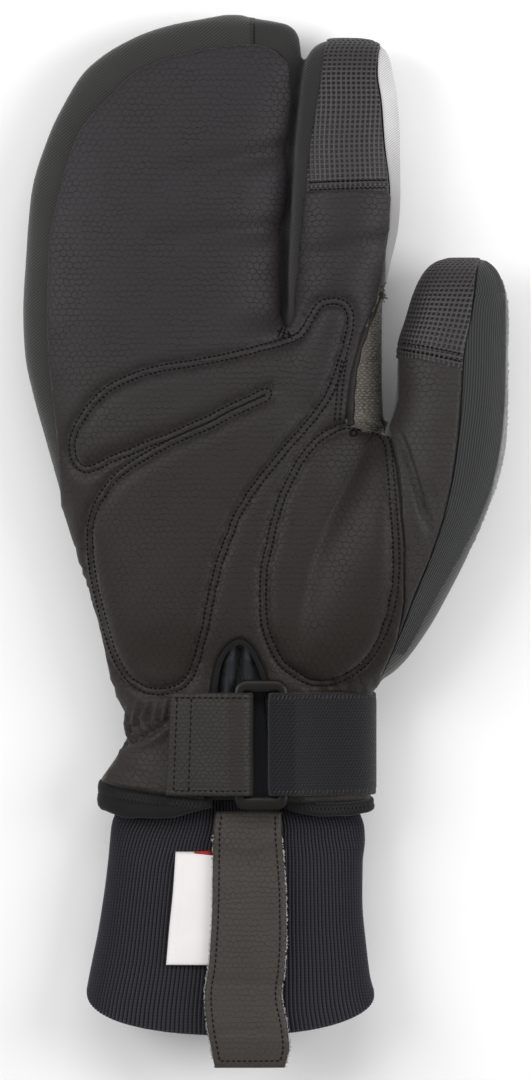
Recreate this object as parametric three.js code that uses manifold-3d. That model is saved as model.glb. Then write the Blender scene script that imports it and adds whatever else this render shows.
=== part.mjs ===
// A right-hand trigger mitten: a pouch for three fingers, a free index finger, a thumb,
// a nipped wrist with a buckled strap, and a long rib-knit cuff.
// Millimetres. It lies on its back, palm up: +X to the thumb, +Y to the fingertips, +Z up.

import * as THREE from 'three';
import { mergeVertices } from 'three/addons/utils/BufferGeometryUtils.js';
import Module from 'manifold-3d';

const wasm = await Module();
wasm.setup();

// Driving dimensions
const GAP = 0.3;            // clearance between neighbouring pieces
const WALL = 2.4;           // padded shell, cloth or leather over its filling
const PAD_RISE = 1.2;       // how far the palm pads stand above the panel
const PIPING_WIDTH = 1.7;   // binding round the vent
const PIPING_RISE = 0.5;
const CUFF_WALL = 1.8;      // rib knit
const HEM_WALL = 2.2;       // rolled binding
const RIB_COUNT = 22;
const RIB_RELIEF = 0.4;
const STRAP_TOP = -39.2;    // wrist strap, upper and lower edge
const STRAP_BOTTOM = -65.8;
const STRAP_CLEAR = 0.6;    // strap above the wrist
const TAB_THICK = 1.6;
const TAB_ANGLE = 2.0;      // where the leather half of the strap is sewn on
const PULL_THICK = 1.8;
const LABEL_THICK = 0.8;
const ELASTIC_THICK = 1.8;
const BUCKLE = {
  left: -7.8, right: 6.0, top: -35.8, bottom: -69.6, bar: 2.2, endBar: 3.1, thick: 2.2, corner: 2.6,
};
const CROTCH_Y = 57.2;      // where the pouch and the index finger part
const CEILING = 90;         // above every piece
const ROUND = 2.35;         // roundness of the sections, 2 is an ellipse
// Sides of a section
const AROUND = { hand: 24, finger: 16, hollowHand: 14, hollowFinger: 10, cuff: 16 };

// Rows of a table as objects, its columns named in one string
function table(columns, rows) {
  const names = columns.split(' ');
  return rows.map((row) => Object.fromEntries(names.map((name, i) => [name, row[i]])));
}

// Sections across the hand: left and right edge, back and palm height. bow draws the palm side
// towards the wrist, lean does so on the thumb's side, and gather is the depth of the folds on
// the little finger's side. seamLeft and seamRight bound the palm leather.
const HAND = table('y left right back palm bow lean gather seamLeft seamRight', [
  [137.0, -10.5, -5.9, 11.0, 13.0, 0, 0, 0, -3.0, -2.4],
  [136.0, -15.5, -2.7, 9.2, 15.0, 0, 0, 0, -3.0, -2.4],
  [134.4, -24.0, 6.0, 7.6, 17.0, 0, 0, 0, -3.0, -2.4],
  [131.8, -32.1, 8.7, 6.2, 18.6, 0, 0, 0, -3.0, -2.4],
  [129.4, -37.0, 9.3, 5.3, 19.6, 0, 0, 0, -4.0, -2.0],
  [126.6, -41.7, 9.5, 4.6, 20.4, 0, 0, 0, -20.5, 4.6],
  [121.4, -47.5, 9.2, 3.6, 21.4, 0, 0, 0, -33.5, 6.6],
  [116.2, -50.8, 8.7, 3.0, 22.3, 0, 0, 0, -39.0, 6.7],
  [105.8, -56.0, 7.4, 2.0, 23.6, 0, 0, 0, -47.8, 5.9],
  [90.2, -60.7, 6.4, 1.0, 25.2, 0, 0, 0, -53.0, 5.1],
  [74.6, -62.0, 5.6, 0.0, 26.6, 0, 0, 0, -55.8, 3.9],
  [59.0, -62.8, 5.6, -1.0, 28.0, 0, 0, 0, -56.0, 3.6],
  [48.6, -62.3, 20.0, -1.5, 29.0, 0, 0, 0, -55.7, 3.6],
  [38.2, -60.2, 26.5, -1.5, 30.0, 0, 0, 0, -54.7, 3.6],
  [27.8, -57.3, 31.0, -1.5, 31.0, 0, 0, 0, -53.5, 3.6],
  [12.2, -52.9, 33.0, -1.5, 31.2, 0, 0, 0, -52.2, 3.6],
  [-3.4, -48.2, 34.0, -1.5, 31.2, 0, 0, 0, -48.6, 3.6],
  [-19.0, -43.8, 33.5, -1.5, 30.6, 1, 0, 0, -44.2, 3.6],
  [-34.6, -39.6, 28.8, 3.0, 27.0, 2, 0, 0.3, -40.2, 3.6],
  [-39.8, -37.8, 27.7, 3.2, 27.0, 3, 0, 0.7, -38.4, 3.6],
  [-45.0, -36.4, 27.6, 3.2, 27.0, 4, 0, 1.0, -37.0, 3.6],
  [-50.2, -36.4, 27.6, 3.2, 27.0, 4, 0.6, 1.0, -37.0, 3.6],
  [-55.4, -38.6, 27.6, 3.2, 27.0, 4, 1.4, 0.8, -39.2, 3.6],
  [-64.0, -42.6, 27.7, 3.2, 27.2, 3, 2.2, 0.3, -43.0, 3.6],
]);

// Sections across the index finger, from its tip into the palm
const INDEX = table('y left right back palm seamLeft seamRight', [
  [130.4, 18.4, 23.4, 11.5, 13.5, 16.0, 30.8],
  [129.6, 14.6, 28.6, 9.4, 16.6, 16.0, 30.6],
  [126.8, 11.6, 31.8, 6.6, 20.4, 15.4, 29.4],
  [121.4, 9.9, 33.2, 4.8, 23.4, 14.6, 29.0],
  [114.0, 9.0, 34.4, 3.9, 25.0, 13.6, 30.0],
  [103.0, 8.0, 35.0, 3.0, 26.2, 11.8, 30.8],
  [90.2, 7.2, 35.1, 2.2, 27.2, 10.6, 32.2],
  [82.0, 6.8, 34.2, 1.5, 27.8, 9.9, 32.4],
  [71.0, 6.2, 31.8, 0.4, 28.2, 8.9, 30.8],
  [62.0, 6.0, 30.6, -0.6, 28.4, 8.2, 28.4],
  [52.0, 3.0, 30.5, -1.2, 28.2, 7.8, 24.6],
  [42.0, -2.0, 30.5, -1.5, 28.6, 7.8, 22.2],
  [30.0, -4.0, 31.0, -1.5, 29.0, 7.8, 20.6],
]);

// Sections across the thumb. seamLeft is the stitched edge towards the palm, seamRight parts
// the leather from the ribbed side panel, and wipe parts that from the terry strip.
const THUMB = table('y left right back palm seamLeft seamRight wipe', [
  [73.3, 48.6, 56.4, 17.5, 20.5, 30, 56.2, 62.4],
  [71.8, 44.2, 58.8, 14.8, 24.2, 30, 55.4, 62.4],
  [69.4, 41.7, 60.7, 12.4, 27.6, 30, 54.8, 62.4],
  [64.2, 39.1, 62.4, 9.8, 31.0, 30, 54.2, 62.4],
  [58.0, 37.2, 63.0, 8.2, 33.0, 30, 53.2, 62.4],
  [48.6, 34.6, 62.8, 6.6, 34.6, 30, 51.4, 62.4],
  [38.2, 34.2, 62.8, 5.2, 35.6, 30, 50.8, 62.2],
  [27.8, 31.0, 62.5, 3.8, 36.2, 32.6, 50.0, 61.4],
  [17.4, 24.0, 60.7, 2.4, 36.6, 33.6, 48.6, 59.6],
  [7.0, 17.0, 57.1, 1.0, 36.8, 34.2, 46.4, 56.2],
  [-3.4, 11.0, 52.9, -0.5, 36.4, 34.6, 43.0, 51.0],
  [-13.8, 7.0, 47.7, -1.5, 35.2, 33.6, 38.6, 45.0],
  [-24.2, 4.0, 41.7, -1.5, 33.0, 30.6, 34.8, 39.4],
  [-34.6, 2.0, 33.0, 2.6, 27.4, 22.0, 30.6, 33.2],
  [-38.6, 2.0, 24.0, 5.0, 23.6, 18.0, 28.6, 30.0],
]);

// Sections down the knit cuff
const CUFF = table('y left right back palm bow lean', [
  [-62.5, -34.6, 21.6, 6.8, 21.8, 3, 2.2],
  [-72.4, -38.2, 24.0, 6.2, 22.8, 3, 2.2],
  [-75.4, -39.4, 26.0, 3.0, 24.0, 4, 2.0],
  [-82.0, -40.2, 25.4, -0.8, 27.0, 5, 1.5],
  [-91.8, -41.5, 25.6, -1.0, 28.6, 7, 1.0],
  [-102.2, -43.0, 26.4, -1.0, 30.0, 8, 0.5],
  [-112.6, -45.4, 27.6, -1.0, 31.6, 9, 0],
  [-118.0, -46.6, 29.2, -1.0, 32.6, 10, 0],
]);

// Outlines of the raised pads on the palm, corners of a smooth closed curve
const HEEL_PAD = [
  [0.9, 38.0], [-9.0, 33.5], [-28.5, 23.7], [-41.5, 13.8], [-45.6, -2.3], [-40.2, -27.0], [-29.8, -37.8],
  [-22.0, -37.8], [-17.6, -29.6], [-9.5, -1.0], [-0.7, 15.9], [13.9, 32.8], [20.4, 47.1], [21.9, 58.5],
  [16.4, 62.2], [11.3, 56.9], [6.6, 49.7],
];
const FINGER_PAD = [
  [5.4, 51.4], [-18.1, 46.5], [-38.1, 41.6], [-48.0, 31.4], [-49.4, 23.7], [-44.5, 20.6], [-29.8, 26.8],
  [-9.0, 35.4], [0.9, 40.2],
];
const THENAR_PAD = [
  [31.4, 25.6], [32.2, 5.5], [31.4, -12.7], [25.0, -29.0], [10.5, -35.4], [0.9, -23.1], [-0.6, -9.0],
  [6.1, 16.4], [17.0, 28.4],
];

// The vent: an arch of this half width and height over the strap, opening towards the hem
const VENT = {
  x: -6.2, halfTop: 7.4, halfHem: 9.6, archTop: -24.9, springY: -33.0, hemY: -72.0, recess: 1.2, slit: 0.9,
};

const COLOURS = {
  leather: { color: 0x37322f, roughness: 0.62 },
  softshell: { color: 0x2b2e2e, roughness: 0.85 },
  stretch: { color: 0x3f4242, roughness: 0.9 },
  grey: { color: 0xafadb6, roughness: 0.8 },
  terry: { color: 0x6d6d6b, roughness: 0.98 },
  web: { color: 0x5c5946, roughness: 0.7 },
  knit: { color: 0x23242a, roughness: 0.95 },
  elastic: { color: 0x282b2f, roughness: 0.85 },
  plastic: { color: 0x1c1b1c, roughness: 0.4 },
  label: { color: 0xe8e4e6, roughness: 0.8 },
};

// A column of a section table at any y, without overshoot between its rows
function sample(rows, column, y) {
  const last = rows.length - 1;
  if (y >= rows[0].y) return rows[0][column];
  if (y <= rows[last].y) return rows[last][column];
  let i = 0;
  while (rows[i + 1].y > y) i += 1;
  const slope = (a, b) => (rows[b][column] - rows[a][column]) / (rows[b].y - rows[a].y);
  const here = slope(i, i + 1);
  const tangent = (a, b, c) => {
    const s0 = slope(a, b);
    const s1 = slope(b, c);
    return s0 * s1 <= 0 ? 0 : (2 * s0 * s1) / (s0 + s1);
  };
  const m0 = i > 0 ? tangent(i - 1, i, i + 1) : here;
  const m1 = i + 2 <= last ? tangent(i, i + 1, i + 2) : here;
  const h = rows[i + 1].y - rows[i].y;
  const t = (y - rows[i].y) / h;
  const p0 = rows[i][column];
  const p1 = rows[i + 1][column];
  const t2 = t * t;
  const t3 = t2 * t;
  const level = (2 * t3 - 3 * t2 + 1) * p0 + (3 * t2 - 2 * t3) * p1;
  return level + (t3 - 2 * t2 + t) * h * m0 + (t3 - t2) * h * m1;
}

function sampleOr0(rows, column, y) {
  return column in rows[0] ? sample(rows, column, y) : 0;
}

// One edge of a section moved by grow, outwards when it is above 0. Inwards it keeps its
// distance from the rounded tips as well, as an inner wall does.
function edge(rows, column, y, grow) {
  const sign = column === 'left' || column === 'back' ? -1 : 1;
  const plain = sign * sample(rows, column, y) + grow;
  if (grow >= 0) return sign * plain;
  const step = -0.7 * grow;
  const ahead = sign * sample(rows, column, y + step) - step;
  const far = sign * sample(rows, column, y - grow);
  return sign * Math.min(plain, ahead, far);
}

// A closed ring of points round one section. floor is its lowest height.
function ring(rows, y, grow, around, floor, relief = () => 0) {
  const left = edge(rows, 'left', y, grow);
  const right = edge(rows, 'right', y, grow);
  const back = edge(rows, 'back', y, grow);
  const palm = edge(rows, 'palm', y, grow);
  const [bow, lean, gather] = ['bow', 'lean', 'gather'].map((column) => sampleOr0(rows, column, y));
  const points = [];
  for (let i = 0; i < around; i += 1) {
    const angle = (2 * Math.PI * i) / around;
    const c = Math.cos(angle);
    const s = Math.sin(angle);
    const fold = -gather * (0.5 + 0.5 * Math.cos(9 * angle)) * Math.max(0, -c);
    const bulge = 1 + (fold + relief(i)) / 20;
    const halfX = Math.max(0.3, (right - left) / 2) * bulge;
    const halfZ = Math.max(0.3, (palm - back) / 2) * bulge;
    const x = (left + right) / 2 + halfX * Math.sign(c) * Math.abs(c) ** (2 / ROUND);
    const z = (back + palm) / 2 + halfZ * Math.sign(s) * Math.abs(s) ** (2 / ROUND);
    const drawn = bow * (s > 0 ? s : 0.3 * s) + lean * c;
    points.push(new THREE.Vector3(x, y - drawn, Math.max(z, floor)));
  }
  return points;
}

// A closed skin through rings, with a flat end on the first and on the last
function skin(rings) {
  const around = rings[0].length;
  const positions = [];
  const index = [];
  for (const points of rings) {
    for (const p of points) positions.push(p.x, p.y, p.z);
  }
  for (let r = 0; r + 1 < rings.length; r += 1) {
    for (let i = 0; i < around; i += 1) {
      const a = r * around + i;
      const b = r * around + ((i + 1) % around);
      index.push(a, b, b + around, a, b + around, a + around);
    }
  }
  for (const [r, flip] of [[0, true], [rings.length - 1, false]]) {
    const middle = positions.length / 3;
    const centre = rings[r].reduce((sum, p) => sum.add(p), new THREE.Vector3()).divideScalar(around);
    positions.push(centre.x, centre.y, centre.z);
    for (let i = 0; i < around; i += 1) {
      const a = r * around + i;
      const b = r * around + ((i + 1) % around);
      if (flip) index.push(middle, b, a);
      else index.push(middle, a, b);
    }
  }
  const geometry = new THREE.BufferGeometry();
  geometry.setAttribute('position', new THREE.Float32BufferAttribute(positions, 3));
  geometry.setIndex(index);
  return geometry;
}

// A solid for joining and cutting, turned right side out if its faces point in
function solid(geometry) {
  const bare = geometry.clone();
  bare.deleteAttribute('normal');
  bare.deleteAttribute('uv');
  const merged = mergeVertices(bare, 1e-4);
  const triVerts = Uint32Array.from(merged.index.array);
  const p = merged.attributes.position.array;
  let volume = 0;
  for (let i = 0; i < triVerts.length; i += 3) {
    const [a, b, c] = [0, 1, 2].map((k) => new THREE.Vector3().fromArray(p, 3 * triVerts[i + k]));
    volume += a.dot(b.cross(c));
  }
  if (volume < 0) {
    for (let i = 0; i < triVerts.length; i += 3) {
      [triVerts[i + 1], triVerts[i + 2]] = [triVerts[i + 2], triVerts[i + 1]];
    }
  }
  return new wasm.Manifold(new wasm.Mesh({ numProp: 3, vertProperties: Float32Array.from(p), triVerts }));
}

// A closed loft through the rows of a table. extra lengthens its last end.
function limb(rows, grow, around, floor, extra = 0) {
  const tip = rows[0].y + Math.min(0, grow);
  const rings = rows.filter((row) => row.y <= tip).map((row) => ring(rows, row.y, grow, around, floor));
  if (extra > 0) rings.push(rings[rings.length - 1].map((p) => p.clone().setY(p.y - extra)));
  return solid(skin(rings));
}

// A plan outline moved outwards by grow, or inwards when it is below 0
function widened(outline, grow) {
  const points = outline.map(([x, y]) => new THREE.Vector2(x, y));
  const turn = Math.sign(THREE.ShapeUtils.area(points));
  return points.map((p, i) => {
    const before = p.clone().sub(points[(i + points.length - 1) % points.length]).normalize();
    const after = points[(i + 1) % points.length].clone().sub(p).normalize();
    const along = before.clone().add(after).normalize();
    const stretch = 1 / Math.max(0.5, along.dot(after));
    return [p.x + turn * along.y * grow * stretch, p.y - turn * along.x * grow * stretch];
  });
}

// An upright prism over a plan outline, its sides moved outwards by grow
function prism(outline, from, to, grow = 0) {
  const edgeLine = grow === 0 ? outline : widened(outline, grow);
  const shape = new THREE.Shape(edgeLine.map(([x, y]) => new THREE.Vector2(x, y)));
  const geometry = new THREE.ExtrudeGeometry(shape, { depth: to - from, bevelEnabled: false, steps: 1 });
  return solid(geometry.translate(0, 0, from));
}

// Plan outline between two edges given as functions of y
function between(leftOf, rightOf, top, bottom, steps) {
  const outline = [];
  for (let i = 0; i <= steps; i += 1) {
    const y = bottom + ((top - bottom) * i) / steps;
    outline.push([rightOf(y), y]);
  }
  for (let i = steps; i >= 0; i -= 1) {
    const y = bottom + ((top - bottom) * i) / steps;
    outline.push([leftOf(y), y]);
  }
  return outline;
}

function smoothLoop(corners, count) {
  const curve = new THREE.CatmullRomCurve3(corners.map(([x, y]) => new THREE.Vector3(x, y, 0)), true);
  return curve.getSpacedPoints(count).slice(0, count).map((p) => [p.x, p.y]);
}

function box(x0, x1, y0, y1, z0, z1) {
  const geometry = new THREE.BoxGeometry(x1 - x0, y1 - y0, z1 - z0);
  return solid(geometry.translate((x0 + x1) / 2, (y0 + y1) / 2, (z0 + z1) / 2));
}

// The largest body of a cut, without slivers left along its edges
function largest(cut) {
  return cut.decompose().reduce((best, body) => (body.volume() > best.volume() ? body : best));
}

function addMesh(name, cut, finish) {
  const mesh = cut.getMesh();
  const geometry = new THREE.BufferGeometry();
  geometry.setAttribute('position', new THREE.BufferAttribute(Float32Array.from(mesh.vertProperties), 3));
  geometry.setIndex(new THREE.BufferAttribute(Uint32Array.from(mesh.triVerts), 1));
  geometry.computeVertexNormals();
  const material = new THREE.MeshStandardMaterial({ ...COLOURS[finish], metalness: 0 });
  const node = new THREE.Mesh(geometry, material);
  node.name = name;
  group.add(node);
}

const group = new THREE.Group();
group.name = 'trigger_mitten';

// The whole shell, hollow from the wrist to every fingertip
function outerForm(grow) {
  return limb(HAND, grow, AROUND.hand, 0)
    .add(limb(INDEX, grow, AROUND.finger, 0))
    .add(limb(THUMB, grow, AROUND.finger, 0));
}

function hollow() {
  return limb(HAND, -WALL, AROUND.hollowHand, WALL, 20)
    .add(limb(INDEX, -WALL, AROUND.hollowFinger, WALL))
    .add(limb(THUMB, -WALL, AROUND.hollowFinger, WALL));
}

const cavity = hollow();
let rest = outerForm(0).subtract(cavity);

// Cuts the next panel out of what is left of the shell, with a gap round it
function carve(regionOf) {
  const panel = largest(rest.intersect(regionOf(0)));
  rest = rest.subtract(regionOf(GAP));
  return panel;
}

const PALM_SPLIT = 13.0;
const THUMB_SPLIT = 18.0;
const PATCH_Y = { index: 90.8, thumb: 45.8 };

const edgeOf = (rows, column) => (y) => sample(rows, column, y);

// Regions of the panels. grow widens a region, by the gap that its neighbours keep.
function ventRegion(grow) {
  const arch = [];
  const steps = 8;
  for (let i = 0; i <= steps; i += 1) {
    const angle = (Math.PI * i) / steps;
    const rise = (VENT.archTop - VENT.springY) * Math.sin(angle);
    arch.push([VENT.x + VENT.halfTop * Math.cos(angle), VENT.springY + rise]);
  }
  arch.push([VENT.x - VENT.halfHem, VENT.hemY], [VENT.x + VENT.halfHem, VENT.hemY]);
  return prism(arch, PALM_SPLIT, CEILING, grow);
}

function pipingRegion(grow) {
  return ventRegion(PIPING_WIDTH + grow);
}

function indexPatchRegion(grow) {
  const sides = [edgeOf(INDEX, 'seamLeft'), edgeOf(INDEX, 'seamRight')];
  return prism(between(...sides, INDEX[0].y + 4, PATCH_Y.index, 6), PALM_SPLIT, CEILING, grow);
}

function thumbPatchRegion(grow) {
  const outline = between(() => 30, edgeOf(THUMB, 'seamRight'), THUMB[0].y + 4, PATCH_Y.thumb, 6);
  return prism(outline, THUMB_SPLIT - grow, CEILING, grow);
}

function thumbPanelRegion(grow) {
  const sides = [edgeOf(THUMB, 'seamLeft'), edgeOf(THUMB, 'seamRight')];
  return prism(between(...sides, PATCH_Y.thumb, -39.4, 12), THUMB_SPLIT - grow, CEILING, grow);
}

function thumbSideRegion(grow) {
  const sides = [edgeOf(THUMB, 'seamRight'), edgeOf(THUMB, 'wipe')];
  return prism(between(...sides, THUMB[0].y + 4, -38.0, 14), THUMB_SPLIT - 4 - grow, CEILING, grow);
}

function thumbWipeRegion(grow) {
  const inner = (y) => sample(THUMB, 'right', y) - 12;
  return prism(between(inner, () => 80, THUMB[0].y - 5, -26.0, 9), 4 - grow, CEILING, grow);
}

function palmRegion(grow) {
  const handLeft = edgeOf(HAND, 'seamLeft');
  const fingerRight = edgeOf(INDEX, 'seamRight');
  const fingerBase = 30.4;
  const upright = (outline) => prism(outline, PALM_SPLIT, CEILING, grow);
  const besideFinger = box(fingerRight(fingerBase) + grow, 50, fingerBase, 60, 0, CEILING);
  return upright(between(handLeft, () => 42, 50.0, -70.0, 10))
    .subtract(besideFinger)
    .add(upright(between(handLeft, edgeOf(HAND, 'seamRight'), 129.4, 46.0, 18)))
    .add(upright(between(edgeOf(INDEX, 'seamLeft'), fingerRight, PATCH_Y.index, 52.0, 6)))
    .add(upright(between(() => -10, fingerRight, 54.0, fingerBase, 4)));
}

function fourchetteRegion(grow) {
  const left = (y) => (y > 129 ? -3.0 : sample(HAND, 'seamRight', y));
  const right = (y) => (y > 129 ? 16.0 : sample(INDEX, 'seamLeft', y));
  return prism(between(left, right, 140, CROTCH_Y - 3, 16), 6 - grow, CEILING, grow);
}

function indexBackRegion(grow) {
  const side = prism(between(edgeOf(INDEX, 'seamRight'), () => 45, 140, 82, 7), 0, CEILING, grow);
  const inner = (y) => sample(INDEX, 'left', y) + 4;
  return side.add(prism(between(inner, () => 45, 140, 70, 7), -5, 12 + grow, grow));
}

function webRegion(grow) {
  return prism(between(edgeOf(INDEX, 'seamRight'), () => 42, 63.0, 27.4, 5), 9 - grow, CEILING, grow);
}

const ventCloth = carve(ventRegion);
const piping = carve(pipingRegion);
const indexPatch = carve(indexPatchRegion);
const thumbPatch = carve(thumbPatchRegion);
const thumbPanel = carve(thumbPanelRegion);
const thumbSide = carve(thumbSideRegion);
const thumbWipe = carve(thumbWipeRegion);
const palm = carve(palmRegion);
const web = carve(webRegion);
const fourchette = carve(fourchetteRegion);
const indexBack = carve(indexBackRegion);

// Raised pads, a thicker layer of the palm inside each outline
function padded(panel) {
  const raised = outerForm(PAD_RISE).subtract(cavity);
  const neighbours = [pipingRegion, thumbPanelRegion, fourchetteRegion, webRegion];
  const room = neighbours.reduce((left, region) => left.subtract(region(GAP)), palmRegion(-0.6));
  return [HEEL_PAD, FINGER_PAD, THENAR_PAD].reduce((sum, corners) => {
    const pad = raised.intersect(prism(smoothLoop(corners, 18), 20, CEILING)).intersect(room);
    return sum.add(pad);
  }, panel);
}

addMesh('palm_panel', largest(padded(palm)), 'leather');
addMesh('index_tip_patch', indexPatch, 'leather');
addMesh('thumb_tip_patch', thumbPatch, 'leather');
addMesh('thumb_panel', thumbPanel, 'leather');
addMesh('thumb_side_panel', thumbSide, 'stretch');
addMesh('thumb_wipe', thumbWipe, 'terry');
addMesh('fourchette', fourchette, 'softshell');
addMesh('index_back_panel', indexBack, 'grey');
addMesh('web_gusset', web, 'web');

// The vent's cloth lies deeper than the palm and has a slit down its middle
function ventGusset() {
  const sunk = ventCloth.translate([0, 0, -VENT.recess]);
  const half = VENT.slit / 2;
  const slit = box(VENT.x - half, VENT.x + half, VENT.hemY - 1, VENT.springY + 2, 0, CEILING);
  return largest(sunk.subtract(slit));
}

function ventBinding() {
  const raised = outerForm(PIPING_RISE).subtract(cavity);
  const strip = pipingRegion(0).subtract(ventRegion(GAP));
  const clipped = strip.subtract(box(-60, 60, -100, STRAP_TOP + 0.4, 0, CEILING));
  return largest(piping.add(raised.intersect(clipped)));
}

addMesh('vent_gusset', ventGusset(), 'softshell');
addMesh('vent_binding', ventBinding(), 'softshell');
addMesh('back_shell', largest(rest), 'softshell');

// Hem binding: a rolled ring round the hem, open where the vent reaches it
function hemBinding() {
  const top = HAND[HAND.length - 1].y - GAP;
  const hem = { ...HAND[HAND.length - 1] };
  const rows = [
    { ...hem, y: top },
    { ...hem, y: top - 1.2, left: hem.left - 0.7, right: hem.right + 0.7, palm: hem.palm + 0.7 },
    { ...hem, y: top - 5.2, left: hem.left - 0.9, right: hem.right + 0.7, palm: hem.palm + 0.7 },
    { ...hem, y: top - 7.4, left: hem.left + 0.8, right: hem.right - 0.6, palm: hem.palm - 0.4 },
  ];
  const outside = skin(rows.map((row) => ring(rows, row.y, 0, AROUND.hand, 0)));
  const bore = (shift) => ring(rows, top, -HEM_WALL, AROUND.hand, HEM_WALL).map((p) => p.setY(p.y + shift));
  const inside = [bore(3), bore(-12)];
  const notch = ventRegion(PIPING_WIDTH + GAP).translate([0, -6, 0]);
  return largest(solid(outside).subtract(solid(skin(inside))).subtract(notch));
}

addMesh('hem_binding', hemBinding(), 'softshell');

// Knit cuff: a ribbed tube that flares to its end
function knitCuff() {
  const zigzag = (i) => (i % 2 === 0 ? RIB_RELIEF : -RIB_RELIEF);
  const outside = CUFF.map((row) => ring(CUFF, row.y, 0, 2 * RIB_COUNT, 0, zigzag));
  const inside = CUFF.map((row) => ring(CUFF, row.y, -CUFF_WALL, AROUND.cuff, CUFF_WALL));
  const first = inside[0].map((p) => p.clone().setY(p.y + 6));
  const last = inside[inside.length - 1].map((p) => p.clone().setY(p.y - 6));
  return solid(skin(outside)).subtract(solid(skin([first, ...inside, last])));
}

addMesh('knit_cuff', knitCuff(), 'knit');

// A band lying along a path of [x, z] points, extruded over the strap's width
function strap(path, thick, top, bottom) {
  const side = (offset) => path.map(([x, z], i) => {
    const [x0, z0] = path[Math.max(0, i - 1)];
    const [x1, z1] = path[Math.min(path.length - 1, i + 1)];
    const length = Math.hypot(x1 - x0, z1 - z0);
    return new THREE.Vector2(x - (offset * (z1 - z0)) / length, z + (offset * (x1 - x0)) / length);
  });
  const outline = [...side(thick / 2), ...side(-thick / 2).reverse()];
  const options = { depth: top - bottom, bevelEnabled: false };
  const geometry = new THREE.ExtrudeGeometry(new THREE.Shape(outline), options);
  return solid(geometry.rotateX(Math.PI / 2).translate(0, top, 0));
}

// Points of the wrist's section, offset outwards, between two angles. The section is as wide as
// the row of the hand that it names.
const wristRow = HAND.find((r) => r.y === -45.0);

function wristArc(fromAngle, toAngle, offset, steps, left = wristRow.left) {
  const row = { ...wristRow, left };
  const halfX = (row.right - row.left) / 2 + offset;
  const halfZ = (row.palm - row.back) / 2 + offset;
  const points = [];
  for (let i = 0; i <= steps; i += 1) {
    const angle = fromAngle + ((toAngle - fromAngle) * i) / steps;
    const c = Math.cos(angle);
    const s = Math.sin(angle);
    points.push([
      (row.left + row.right) / 2 + halfX * Math.sign(c) * Math.abs(c) ** (2 / ROUND),
      (row.back + row.palm) / 2 + halfZ * Math.sign(s) * Math.abs(s) ** (2 / ROUND),
    ]);
  }
  return points;
}

const barZ = wristRow.palm + STRAP_CLEAR + TAB_THICK + GAP + BUCKLE.thick / 2;

// The end of a strap folded round a buckle bar. side is -1 on the left bar, 1 on the right.
function foldRound(side, thick) {
  const outer = side < 0 ? BUCKLE.left : BUCKLE.right;
  const inner = outer - side * BUCKLE.bar;
  const reach = BUCKLE.thick / 2 + GAP + thick / 2;
  const centre = inner + side * GAP;
  const bend = [];
  for (let i = 0; i <= 6; i += 1) {
    const angle = Math.PI / 2 - (Math.PI * i) / 6;
    bend.push([centre - side * reach * Math.cos(angle), barZ + reach * Math.sin(angle)]);
  }
  return [[outer + side * 1.4, barZ + reach], ...bend, [centre + side * 4.0, barZ - reach]];
}

function wristTab() {
  const arc = wristArc(TAB_ANGLE, 1.86, STRAP_CLEAR + TAB_THICK / 2, 5, HAND[HAND.length - 1].left);
  const path = [...arc, ...foldRound(-1, TAB_THICK)];
  return strap(path, TAB_THICK, STRAP_TOP, STRAP_BOTTOM);
}

function elasticBand() {
  const arc = wristArc(-1.9, 1.12, STRAP_CLEAR + ELASTIC_THICK / 2, 18);
  const path = [...arc, ...foldRound(1, ELASTIC_THICK)];
  return strap(path, ELASTIC_THICK, STRAP_TOP, STRAP_BOTTOM);
}

function buckleRing() {
  const rounded = (x0, x1, y0, y1, r) => {
    const shape = new THREE.Shape();
    shape.absarc(x1 - r, y1 - r, r, 0, Math.PI / 2);
    shape.absarc(x0 + r, y1 - r, r, Math.PI / 2, Math.PI);
    shape.absarc(x0 + r, y0 + r, r, Math.PI, 1.5 * Math.PI);
    shape.absarc(x1 - r, y0 + r, r, 1.5 * Math.PI, 2 * Math.PI);
    return shape;
  };
  const { left, right, top, bottom, bar, endBar, thick, corner } = BUCKLE;
  const plate = rounded(left, right, bottom, top, corner);
  plate.holes.push(rounded(left + bar, right - bar, bottom + endBar, top - endBar, 0.8));
  const options = { depth: thick, bevelEnabled: false, curveSegments: 3 };
  const geometry = new THREE.ExtrudeGeometry(plate, options);
  return solid(geometry.translate(0, 0, barZ - thick / 2));
}

addMesh('wrist_tab', wristTab(), 'leather');
addMesh('elastic_band', elasticBand(), 'elastic');
addMesh('buckle_ring', buckleRing(), 'plastic');

// Height of the palm side of a loft over a plan point
function heightAt(rows, x, y) {
  let nominal = y;
  let z = 0;
  for (let pass = 0; pass < 10; pass += 1) {
    const [left, right, back, palm] = ['left', 'right', 'back', 'palm'].map((c) => sample(rows, c, nominal));
    const u = THREE.MathUtils.clamp((2 * x - left - right) / (right - left), -1, 1);
    const c = Math.sign(u) * Math.abs(u) ** (ROUND / 2);
    const s = Math.sqrt(1 - c * c);
    z = (back + palm) / 2 + ((palm - back) / 2) * s ** (2 / ROUND);
    nominal = y + sampleOr0(rows, 'bow', nominal) * s + sampleOr0(rows, 'lean', nominal) * c;
  }
  return z;
}

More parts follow.
